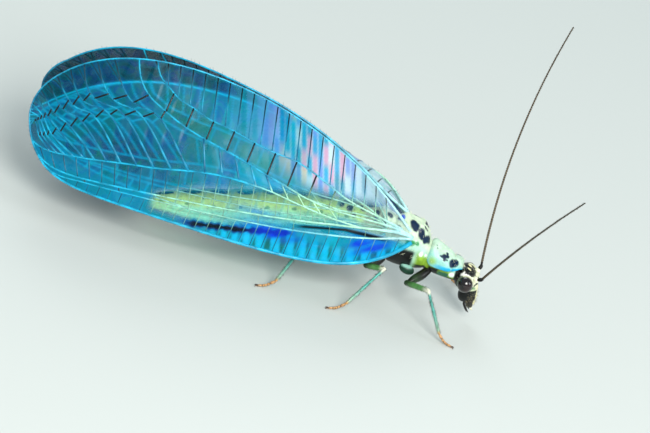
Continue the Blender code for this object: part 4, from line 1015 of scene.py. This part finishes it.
# How far a ray from the heart in the given directions reaches the far side of a stretched ball
def reachOf(ways, heart, centre, radii, pitch):
    c, s = cos(radians(pitch)), sin(radians(pitch))
    turn = np.array([[c, 0.0, -s], [0.0, 1.0, 0.0], [s, 0.0, c]])
    d = (ways @ turn.T) / np.asarray(radii)
    o = ((np.asarray(heart) - np.asarray(centre)) @ turn.T) / np.asarray(radii)
    a, b, c = (d * d).sum(-1), (d * o).sum(-1), (o * o).sum() - 1.0
    inside = b * b - a * c
    return np.where(inside > 0.0, (-b + np.sqrt(np.maximum(inside, 0.0))) / a, 0.0).clip(0.0)


# The head: every direction's reach is the soft maximum (sum of r^p)^(1/p) over its masses
def headSkin():
    plan = headPlan
    heart = np.array(plan["heart"])
    lat = (np.linspace(-0.5, 0.5, plan["rows"] + 2)[1:-1] * np.pi)[:, None]
    lon = (2.0 * np.pi * np.arange(plan["sides"]) / plan["sides"])[None]
    ways = np.stack([np.cos(lat) * np.cos(lon), np.cos(lat) * np.sin(lon), np.sin(lat) + 0.0 * lon], axis=2)
    power = np.zeros(ways.shape[:2])
    for centre, radii, pitch in plan["masses"]:
        for side in ((1.0, -1.0) if centre[1] else (1.0,)):
            reach = reachOf(ways, heart, (centre[0], centre[1] * side, centre[2]), radii, pitch)
            power = power + reach ** plan["sharpness"]
    reach = power ** (1.0 / plan["sharpness"])
    points = heart + ways * reach[..., None]
    groove = 0.020 * np.exp(-(((points[..., 2] - 1.02) / 0.02) ** 2)) * ease(points[..., 0], 2.3, 2.4)
    groove = groove + 0.016 * np.exp(-(((points[..., 2] - 0.80) / 0.018) ** 2)) * ease(points[..., 0], 2.25, 2.4)
    groove = groove + 0.012 * np.exp(-((points[..., 1] / 0.02) ** 2)) * ease(points[..., 2], 1.7, 1.8)
    points = points - ways * groove[..., None]
    return ringSkin(points, paint=headPaint(points))


headColours = {
    "cream": (0.70, 0.74, 0.52), "white": (0.90, 0.93, 0.88), "yellow": (0.78, 0.70, 0.30), "black": (0.003, 0.004, 0.004),
    "green": (0.14, 0.26, 0.13),
}


# Colours of the head: cream, with a black ring round a yellow oval on each side of the crown, a black star
# before it round a white spot, black between the feelers, before the eye, behind it and on the lower face
def headPaint(points):
    x, y, z = points[..., 0], np.abs(points[..., 1]), points[..., 2]
    paint = np.broadcast_to(np.array(headColours["cream"]), points.shape).copy()

    def lay(name, weight):
        nonlocal paint
        paint = paint + np.clip(weight, 0.0, 1.0)[..., None] * (np.array(headColours[name]) - paint)

    lay("white", ease(y, 0.30, 0.36) * ease(z, 1.55, 1.65))
    lay("yellow", 0.6 * (1.0 - ease(np.hypot(x - 2.02, y - 0.13), 0.06, 0.11)) * ease(z, 1.60, 1.70))
    lay("yellow", 0.45 * ease(x, 2.40, 2.46) * (1.0 - ease(z, 1.45, 1.60)))
    ring = np.abs(np.hypot(x - 2.02, (y - 0.14) * 1.15) - 0.145)
    lay("black", (1.0 - ease(ring, 0.062, 0.078)) * ease(z, 1.58, 1.66))
    for mark in (
        (1.99, 0.32, 1.84, 0.085), (1.93, 0.29, 1.88, 0.065), (2.08, 0.30, 1.80, 0.070), (2.15, 0.24, 1.77, 0.100),
        (2.18, 0.12, 1.76, 0.120), (2.20, 0.00, 1.72, 0.110), (1.92, 0.37, 1.80, 0.022), (2.37, 0.34, 1.44, 0.100),
        (2.36, 0.33, 1.55, 0.060), (2.45, 0.00, 1.44, 0.080), (1.80, 0.26, 1.80, 0.110), (1.76, 0.12, 1.78, 0.080),
        (2.38, 0.16, 1.52, 0.060), (2.32, 0.40, 1.34, 0.050),
    ):
        lay("black", markAt(points, *mark))
    lay("black", 1.0 - ease(x, 1.76, 1.82))
    lay("black", (1.0 - ease(x, 1.90, 1.98)) * (1.0 - ease(z, 1.62, 1.72)))
    low = ease(1.27 - z, 0.0, 0.05) * (1.0 - ease(x, 2.44, 2.48) * (1.0 - ease(y, 0.12, 0.18)))
    lay("black", low)
    lay("green", np.exp(-(((z - 1.32) / 0.055) ** 2)) * ease(y, 0.20, 0.28) * ease(x, 2.10, 2.20))
    lay("black", (1.0 - ease(x, 2.14, 2.20)) * (1.0 - ease(z, 1.30, 1.36)))
    return np.clip(paint, 0.0, 1.0)


# One of the eyes: a glossy dome
def eyePatch(side):
    centre = np.array(headPlan["eyeCentre"]) * np.array([1.0, side, 1.0])
    return ball(centre, headPlan["eyeRadii"], across=72, along=54)


def eyeMaterial():
    finish = bpy.data.materials.new("eyeGloss")
    finish.use_nodes = True
    nodes, links = finish.node_tree.nodes, finish.node_tree.links
    shader = nodes["Principled BSDF"]
    shader.inputs["Roughness"].default_value = 0.16
    shader.inputs["Coat Weight"].default_value = 1.0
    shader.inputs["Coat Roughness"].default_value = 0.13
    shader.inputs["Specular IOR Level"].default_value = 0.2
    place = nodes.new("ShaderNodeTexCoord")
    facets = nodes.new("ShaderNodeTexVoronoi")
    facets.inputs["Scale"].default_value = 42000.0
    links.new(place.outputs["Object"], facets.inputs["Vector"])
    glow = nodes.new("ShaderNodeTexNoise")
    glow.inputs["Scale"].default_value = 2600.0
    links.new(place.outputs["Object"], glow.inputs["Vector"])
    tint = nodes.new("ShaderNodeValToRGB")
    tint.color_ramp.elements[0].color = (0.002, 0.001, 0.002, 1.0)
    tint.color_ramp.elements[0].position = 0.40
    tint.color_ramp.elements[1].color = (0.030, 0.005, 0.004, 1.0)
    tint.color_ramp.elements[1].position = 0.75
    links.new(glow.outputs["Fac"], tint.inputs["Fac"])
    links.new(tint.outputs["Color"], shader.inputs["Base Color"])
    relief = nodes.new("ShaderNodeBump")
    relief.inputs["Strength"].default_value = 0.25
    relief.inputs["Distance"].default_value = 0.000004
    links.new(facets.outputs["Distance"], relief.inputs["Height"])
    links.new(relief.outputs["Normal"], shader.inputs["Normal"])
    return finish


# A limb through knots (x, y, z, radius, colour): the knots joined by a smooth curve over the path's length
def limb(knots, colours, samples=14, sides=10, lean=(0.0, 0.0, 1.0), smooth=True):
    knots = np.asarray(knots, float)
    colours = np.asarray(colours, float)
    run = np.concatenate([[0.0], np.cumsum(np.linalg.norm(np.diff(knots[:, :3], axis=0), axis=1))])
    at = np.linspace(0.0, run[-1], samples)
    if smooth:
        path = flow(at, run, knots[:, :3])
        radii = flow(at, run, knots[:, 3])
    else:
        path = np.stack([np.interp(at, run, knots[:, i]) for i in range(3)], 1)
        radii = np.interp(at, run, knots[:, 3])
    paint = np.stack([np.interp(at, run, colours[:, i]) for i in range(3)], 1)
    return rods(path[None], radii[None], sides, lean, (radii[0] * 0.5, radii[-1] * 0.5), paint=paint[None])


mouthPlan = {   # each a limb on both sides: knots (x, y, z, radius) and its colours, dark (0) or pale (1)
    "mandible": (((2.36, 0.17, 0.80, 0.09), (2.43, 0.15, 0.62, 0.075), (2.44, 0.06, 0.50, 0.02)), (0.0, 0.05, 0.3)),
    "palpFirst": (((2.22, 0.20, 0.80, 0.050), (2.20, 0.26, 0.68, 0.045), (2.26, 0.28, 0.58, 0.040)), (0.0, 0.0, 0.0)),
    "palpLast": (((2.25, 0.27, 0.60, 0.042), (2.34, 0.22, 0.46, 0.038), (2.43, 0.13, 0.35, 0.012)), (0.0, 0.0, 0.0)),
    "lipPalp": (((2.34, 0.08, 0.70, 0.036), (2.40, 0.11, 0.60, 0.034), (2.47, 0.13, 0.52, 0.030), (2.53, 0.13, 0.47, 0.014)), (0.2, 0.9, 1.0, 0.8)),
    "lobe": (((2.28, 0.13, 0.76, 0.06), (2.32, 0.13, 0.60, 0.05), (2.37, 0.11, 0.50, 0.02)), (0.05, 0.1, 0.2)),
}


def makeHead():
    skin = headSkin()
    pale, black = np.array([0.80, 0.78, 0.55]), np.array([0.010, 0.010, 0.010])
    patches = [skin]
    for knots, tones in mouthPlan.values():
        for side in (-1.0, 1.0):
            turned = np.array(knots) * np.array([1.0, side, 1.0, 1.0])
            tones3 = np.array(tones)[:, None]
            patches.append(limb(turned, black + tones3 * (pale - black), 12, 12, (0.0, 1.0, 0.1)))
    patches.append(ball((2.47, 0.0, 0.70), (0.07, 0.16, 0.09), radians(20), 24, 16, paint=(0.80, 0.74, 0.42)))
    rim = np.linspace(0.0, 2.0 * np.pi, 49)
    for side in (-1.0, 1.0):
        cx, cy, cz = headPlan["eyeCentre"]
        path = np.stack([cx + 0.262 * np.cos(rim), 0.0 * rim + side * (cy - 0.09), cz + 0.282 * np.sin(rim)], 1)
        shade = np.where((np.sin(rim) < -0.1)[:, None], np.array([0.06, 0.12, 0.06]), np.array([0.58, 0.62, 0.44]))
        shade = np.where((np.cos(rim) < -0.5)[:, None], np.array([0.10, 0.14, 0.09]), shade)
        patches.append(rods(path[None], np.full((1, 49), 0.030), 8, (0.0, 1.0, 0.0), paint=shade[None]))
    finish = cuticle("headCuticle", roughness=0.36, mottle=0.18, fineSize=0.03, bump=0.35, coat=0.15, coarseSize=0.15)
    pieceOf("headSkin", patches, finish, ["head"])
    gloss = eyeMaterial()
    for side, label in ((-1.0, "right"), (1.0, "left")):
        pieceOf("eyeDome_" + label, [eyePatch(side)], gloss, ["eye_" + label])
    hairFinish = cuticle("headHair", roughness=0.45, mottle=0.15, bump=0.0, coat=0.0)
    coat = [
        skinHairs(skin, 90, (0.05, 0.11), 0.0042, (0.50, 0.50, 0.38), lambda c: (c[:, 2] > 1.5) * 1.0, -0.2),
        skinHairs(skin, 160, (0.05, 0.11), 0.0050, (0.30, 0.26, 0.16), lambda c: (c[:, 2] < 1.2) * (c[:, 0] > 2.2) * 1.0, -0.5),
    ]
    pieceOf("headHairs", coat, hairFinish, ["head"])


# FEELERS
feelerPlan = {
    "left": ((2.38, 0.40, 1.86), (2.32, 2.40, 6.60), (2.86, 3.30, 9.90)),
    "right": ((2.50, -0.46, 1.80), (3.48, -3.10, 4.90), (4.60, -5.90, 8.00)),
    "scape": (2.27, 0.29, 1.62),
    "joints": 112,
    "rootRadius": 0.043,
    "tipRadius": 0.022,
    "brown": (0.16, 0.12, 0.07),
    "dark": (0.010, 0.010, 0.010),
    "cream": (0.86, 0.90, 0.66),
}


# A feeler: a bow through root, middle and tip, (1-u) root + u tip + 2u(1-u) pull, beaded by its joints:
# each joint's radius swells towards its outer end
def feeler(side):
    plan = feelerPlan
    sign = 1.0 if side == "left" else -1.0
    root, middle, tip = (np.array(place) for place in plan[side])
    share = np.linalg.norm(middle - root) / (np.linalg.norm(middle - root) + np.linalg.norm(tip - middle))
    pull = (middle - (root + share * (tip - root))) / (2.0 * share * (1.0 - share))
    u = np.linspace(0.0, 1.0, plan["joints"] * 5 + 1)
    path = root + u[:, None] * (tip - root) + (2.0 * u * (1.0 - u))[:, None] * pull
    bead = u * plan["joints"] % 1.0
    radius = plan["rootRadius"] + (plan["tipRadius"] - plan["rootRadius"]) * u
    radius = radius * (0.84 + 0.20 * ease(bead, 0.1, 0.75) - 0.14 * ease(bead, 0.88, 1.0))
    brown, dark = np.array(plan["brown"]), np.array(plan["dark"])
    tone = ease(bead, 0.45, 0.75) * (1.0 - ease(bead, 0.95, 1.0))
    paint = brown * (1.0 - 0.35 * u[:, None]) + tone[:, None] * (dark - brown)
    paint = np.where(u[:, None] < 0.018, dark, paint)
    patches = [rods(path[None], radius[None], 10, (0.9, 0.1, -0.3), (0.01, 0.02), paint=paint[None])]
    scape = np.array(plan["scape"]) * np.array([1.0, sign, 1.0])
    way = unit(root - scape)
    cream = np.array(plan["cream"])
    first = np.concatenate([
        np.r_[scape - 0.05 * way, 0.060][None], np.r_[scape + 0.04 * way, 0.098][None],
        np.r_[scape + 0.13 * way, 0.092][None], np.r_[scape + 0.18 * way, 0.055][None],
    ])
    patches.append(limb(first, np.broadcast_to(cream, (4, 3)), 16, 18, (0.9, 0.1, -0.3)))
    ring = np.concatenate([
        np.r_[scape + 0.17 * way, 0.045][None], np.r_[scape + 0.22 * way, 0.062][None],
        np.r_[root + 0.02 * way, 0.056][None], np.r_[root + 0.06 * way, 0.038][None],
    ])
    patches.append(limb(ring, np.broadcast_to(dark, (4, 3)), 12, 16, (0.9, 0.1, -0.3)))
    turn = chance.uniform(0.0, 2.0 * np.pi, 900)
    at = chance.uniform(0.02, 0.995, 900)
    spot = np.stack([np.interp(at, u, path[:, i]) for i in range(3)], 1)
    tangent = unit(np.stack([np.interp(at, u, np.gradient(path[:, i])) for i in range(3)], 1))
    across = unit(np.cross(tangent, np.array([0.9, 0.1, -0.3])))
    other = np.cross(tangent, across)
    outwardWay = np.cos(turn)[:, None] * across + np.sin(turn)[:, None] * other
    bake = np.stack([0.01 + 0.97 * at, 0.01 + 0.97 * turn / (2.0 * np.pi)], 1)
    down = hairs(spot, unit(outwardWay + 1.1 * tangent), chance.uniform(0.05, 0.09, 900), 0.004, (0.05, 0.035, 0.02), bake)
    return patches, down


def makeFeelers():
    finish = cuticle("feelerCuticle", roughness=0.45, mottle=0.25, fineSize=0.02, bump=0.4, coat=0.1)
    hairFinish = cuticle("feelerHair", roughness=0.5, mottle=0.15, bump=0.0, coat=0.0)
    for side in ("right", "left"):
        patches, down = feeler(side)
        pieceOf("feeler_" + side, patches, finish, ["antenna_" + side])
        pieceOf("feelerHairs_" + side, [down], hairFinish, ["antenna_" + side])


# LEGS
legPlan = {   # the right side's joints (x, y, z): body, coxa's end, thigh's start, knee, ankle, toe's start, toe
    "fore": ((0.72, -0.26, 1.46), (0.22, -0.86, 1.07), (0.16, -0.98, 1.10), (0.90, -1.90, 1.50), (1.66, -2.30, 0.32), (2.16, -2.40, 0.045)),
    "mid": ((-0.86, -0.30, 1.40), (-1.24, -0.72, 1.18), (-1.30, -0.84, 1.20), (-0.70, -1.34, 1.50), (-1.56, -2.30, 0.34), (-2.07, -2.42, 0.045)),
    "hind": ((-1.44, -0.30, 1.42), (-2.10, -0.66, 1.08), (-2.22, -0.78, 1.08), (-3.48, -1.08, 1.30), (-4.00, -2.28, 0.34), (-4.52, -2.42, 0.045)),
    "hindLeft": ((-1.46, 0.30, 1.42), (-2.16, 0.66, 1.08), (-2.34, 0.78, 1.06), (-4.02, 1.16, 1.30), (-5.40, 2.28, 0.34), (-6.34, 2.42, 0.045)),
    "step": {"fore": -0.20, "mid": -0.30},      # how far the left foot stands ahead of the right
    "coxa": 0.150,
    "femur": 0.098,
    "tibia": 0.050,
    "tarsus": 0.043,
}
legColours = {
    "coal": (0.008, 0.008, 0.007), "olive": (0.030, 0.075, 0.025), "green": (0.10, 0.30, 0.08), "cream": (0.74, 0.76, 0.60),
    "teal": (0.08, 0.38, 0.32), "orange": (0.62, 0.34, 0.12), "tan": (0.50, 0.28, 0.14), "dark": (0.06, 0.035, 0.03),
}


# A leg: coxa, short trochanter, thigh, shin with a spur, a foot of five joints, two claws and a pad, each a
# limb through a few knots; hairs stand round thigh, shin and foot
def legPatches(name, side):
    joints = np.array(legPlan[name])
    share = np.array([0.0, 0.25, 0.3, 0.5, 0.85, 1.0])
    sign = -1.0 if side == "right" else 1.0
    if side == "left":
        joints = joints * np.array([1.0, -1.0, 1.0])
        joints[:, 0] = joints[:, 0] + legPlan["step"].get(name, 0.0) * share
        joints = np.array(legPlan.get(name + "Left", joints))
    body, coxaEnd, thigh, knee, ankle, toe = joints
    c = {key: np.array(value) for key, value in legColours.items()}
    lean = (0.3, 0.2 * sign, 1.0)
    big, femur, tibia, tarsus = (legPlan[key] for key in ("coxa", "femur", "tibia", "tarsus"))

    def knots(rows):
        return np.array([np.r_[place, radius] for place, radius in rows])

    patches = [limb(knots([
        (body, big * 0.9), (body + 0.35 * (coxaEnd - body) + np.array([0.0, 0.03 * sign, -0.03]), big * 1.05),
        (body + 0.75 * (coxaEnd - body), big * 0.92), (coxaEnd, big * 0.66)]),
        [c["coal"], c["coal"], c["olive"] * 0.5, c["coal"]], 18, 16, lean)]
    patches.append(limb(knots([
        (coxaEnd + 0.1 * (body - coxaEnd), femur * 0.7), (coxaEnd, femur * 1.02), (thigh, femur * 1.0),
        (thigh + 0.08 * (knee - thigh), femur * 0.8)]),
        [c["coal"], c["coal"], c["olive"] * 0.6, c["olive"]], 12, 14, lean))
    along = knee - thigh
    patches.append(limb(knots([
        (thigh - 0.03 * along, femur * 0.72), (thigh + 0.10 * along, femur * 0.95), (thigh + 0.40 * along, femur * 1.02),
        (thigh + 0.75 * along, femur * 0.90), (thigh + 0.94 * along, femur * 0.82), (knee, femur * 0.66)]),
        [c["coal"], c["olive"], c["green"], c["green"], c["cream"] * 0.75, c["cream"]], 30, 16, lean))
    shin = ankle - knee
    patches.append(limb(knots([
        (knee - 0.01 * shin + np.array([0.0, 0.0, 0.02]), tibia * 1.25), (knee + 0.05 * shin, tibia * 1.15), (knee + 0.12 * shin, tibia * 0.95),
        (knee + 0.5 * shin, tibia * 1.02), (knee + 0.93 * shin, tibia * 1.0), (ankle, tibia * 0.9)]),
        [c["cream"], c["cream"] * 0.85, c["teal"], c["teal"], c["teal"] * 0.8 + c["orange"] * 0.3, c["orange"]], 30, 14, lean))
    foot = toe - ankle
    marks = np.array([0.0, 0.30, 0.46, 0.60, 0.73, 1.0])
    lift = np.array([0.0, -0.06, -0.075, -0.07, -0.05, 0.0])
    steps = ankle + marks[:, None] * foot + lift[:, None] * np.array([0.0, 0.0, 1.0])
    steps[:, 2] = np.maximum(steps[:, 2], 0.048)
    for k in range(5):
        a, b = steps[k], steps[k + 1]
        patches.append(limb(knots([
            (a - 0.02 * unit(b - a), tarsus * 0.62), (a + 0.25 * (b - a), tarsus * 0.85),
            (a + 0.8 * (b - a), tarsus * (1.12 if k < 4 else 0.85)), (b, tarsus * 0.75)]),
            [c["dark"], c["orange"], c["tan"], c["dark"] if k < 4 else c["tan"]], 12, 10, lean))
    ahead = unit((toe - steps[4]) * np.array([1.0, 1.0, 0.0]))
    across = np.array([-ahead[1], ahead[0], 0.0])
    for way in (-1.0, 1.0):
        claw = [(toe + 0.01 * ahead, 0.020), (toe + 0.055 * ahead + 0.03 * way * across + np.array([0.0, 0.0, 0.012]), 0.015),
                (toe + 0.095 * ahead + 0.045 * way * across + np.array([0.0, 0.0, -0.012]), 0.010),
                (toe + 0.110 * ahead + 0.048 * way * across + np.array([0.0, 0.0, -0.040]), 0.004)]
        patches.append(limb(knots(claw), [c["dark"]] * 4, 12, 8, (0.0, 0.1, 1.0)))
    patches.append(ball(toe + 0.045 * ahead + np.array([0.0, 0.0, -0.016]), (0.035, 0.03, 0.022), 0.0, 16, 10, paint=c["tan"]))
    spurRoot = knee + 0.97 * shin
    spur = [(spurRoot, 0.016), (spurRoot + 0.10 * unit(shin) + 0.04 * across, 0.012), (spurRoot + 0.16 * unit(shin) + 0.05 * across, 0.003)]
    patches.append(limb(knots(spur), [c["orange"], c["tan"], c["dark"]], 8, 8, lean))

    fur = []
    for start, end, radius, count, length in (
        (thigh, knee, femur, 150, (0.06, 0.12)), (knee, ankle, tibia, 260, (0.06, 0.11)), (ankle, toe, tarsus, 120, (0.03, 0.06))
    ):
        at = chance.uniform(0.03, 0.98, count)
        turn = chance.uniform(0.0, 2.0 * np.pi, count)
        way = unit(end - start)
        sideWay = unit(np.cross(way, np.array([0.3, 0.2 * sign, 1.0])))
        upWay = np.cross(sideWay, way)
        out = np.cos(turn)[:, None] * sideWay + np.sin(turn)[:, None] * upWay
        root = start + at[:, None] * (end - start) + 0.7 * radius * out
        if start is ankle:
            out[:, 2] = np.abs(out[:, 2])
            root[:, 2] = np.maximum(root[:, 2], 0.03)
            root[:, 2] = np.interp(at, marks, steps[:, 2])
        bake = np.stack([0.01 + 0.97 * at, 0.01 + 0.97 * turn / (2.0 * np.pi)], 1)
        fur.append(hairs(root, unit(out + 0.9 * way), chance.uniform(*length, count), 0.0045, (0.05, 0.06, 0.04), bake))
    return patches, fur


def makeLegs():
    finish = cuticle("legCuticle", roughness=0.34, mottle=0.30, fineSize=0.03, bump=0.4, coat=0.3, coarseSize=0.12)
    hairFinish = cuticle("legHair", roughness=0.5, mottle=0.15, bump=0.0, coat=0.0)
    for name in ("fore", "mid", "hind"):
        for side in ("right", "left"):
            patches, fur = legPatches(name, side)
            node = "leg_" + name + "_" + side
            pieceOf(name + "Leg_" + side, patches, finish, [node])
            pieceOf(name + "LegHairs_" + side, fur, hairFinish, [node])


# The floor, the soft lights and the camera, whose picture is 650 by 433
studio = {
    "floor": (0.58, 0.62, 0.60),
    "floorSize": 1.2,
    "world": (0.86, 0.92, 0.94),
    "worldStrength": 0.55,
    "lift": 25.0,           # how far the camera looks down, in degrees
    "roll": 17.7,           # and how far its picture is turned
    "middle": (-3.10, 0.0, 2.05),
    "lens": 250.0,
    "pixelsPerMillimetre": 30.0,
    # area lights: place and aim in millimetres, size in millimetres, power in watts, colour
    "lights": (
        ((30.0, -105.0, 78.0), (-3.0, 0.0, 2.0), 55.0, 0.20, (1.0, 0.98, 0.94)),
        ((100.0, -20.0, 60.0), (0.0, 0.0, 2.0), 50.0, 0.035, (0.92, 0.97, 1.0)),
        ((-40.0, 110.0, 90.0), (-3.0, 0.0, 2.0), 70.0, 0.06, (0.85, 0.96, 1.0)),
    ),
}


def makeStudio():
    scene = bpy.context.scene
    floorMesh = bpy.data.meshes.new("floor")
    half = studio["floorSize"] / 2.0
    floorMesh.from_pydata([(-half, -half, 0.0), (half, -half, 0.0), (half, half, 0.0), (-half, half, 0.0)], [], [(0, 1, 2, 3)])
    floor = bpy.data.objects.new("floor", floorMesh)
    scene.collection.objects.link(floor)
    paper = bpy.data.materials.new("floorPaper")
    paper.use_nodes = True
    paper.node_tree.nodes["Principled BSDF"].inputs["Base Color"].default_value = (*studio["floor"], 1.0)
    paper.node_tree.nodes["Principled BSDF"].inputs["Roughness"].default_value = 0.85
    floorMesh.materials.append(paper)
    world = bpy.data.worlds.new("studio")
    world.use_nodes = True
    world.node_tree.nodes["Background"].inputs["Color"].default_value = (*studio["world"], 1.0)
    world.node_tree.nodes["Background"].inputs["Strength"].default_value = studio["worldStrength"]
    scene.world = world
    for number, (place, aim, size, power, colour) in enumerate(studio["lights"]):
        lamp = bpy.data.lights.new("softLight%d" % number, "AREA")
        lamp.size = size * space["metre"]
        lamp.energy = power
        lamp.color = colour
        light = bpy.data.objects.new("softLight%d" % number, lamp)
        spot = (np.array(place) + space["shift"]) * space["metre"]
        away = unit(np.array(place) - np.array(aim))
        side = unit(np.cross((0.0, 0.0, 1.0), away))
        turn = np.column_stack([side, np.cross(away, side), away, spot])
        light.matrix_world = Matrix(np.vstack([turn, [0.0, 0.0, 0.0, 1.0]]).tolist())
        scene.collection.objects.link(light)
    lift, roll = radians(studio["lift"]), radians(studio["roll"])
    lens = bpy.data.cameras.new("camera")
    lens.lens = studio["lens"]
    lens.sensor_width = 36.0
    lens.clip_start = 0.002
    lens.clip_end = 10.0
    camera = bpy.data.objects.new("camera", lens)
    ahead, rise = np.array([1.0, 0.0, 0.0]), np.array([0.0, sin(lift), cos(lift)])
    right = cos(roll) * ahead + sin(roll) * rise
    up = -sin(roll) * ahead + cos(roll) * rise
    back = np.cross(right, up)
    distance = 650.0 / studio["pixelsPerMillimetre"] * studio["lens"] / 36.0
    spot = (np.array(studio["middle"]) + distance * back + space["shift"]) * space["metre"]
    camera.matrix_world = Matrix(np.vstack([np.column_stack([right, up, back, spot]), [0.0, 0.0, 0.0, 1.0]]).tolist())
    scene.collection.objects.link(camera)
    scene.camera = camera
    scene.view_settings.view_transform = "Standard"
    print("studio set")


makeStudio()
makeBody()
makeHead()
makeFeelers()
makeLegs()
makeWings()
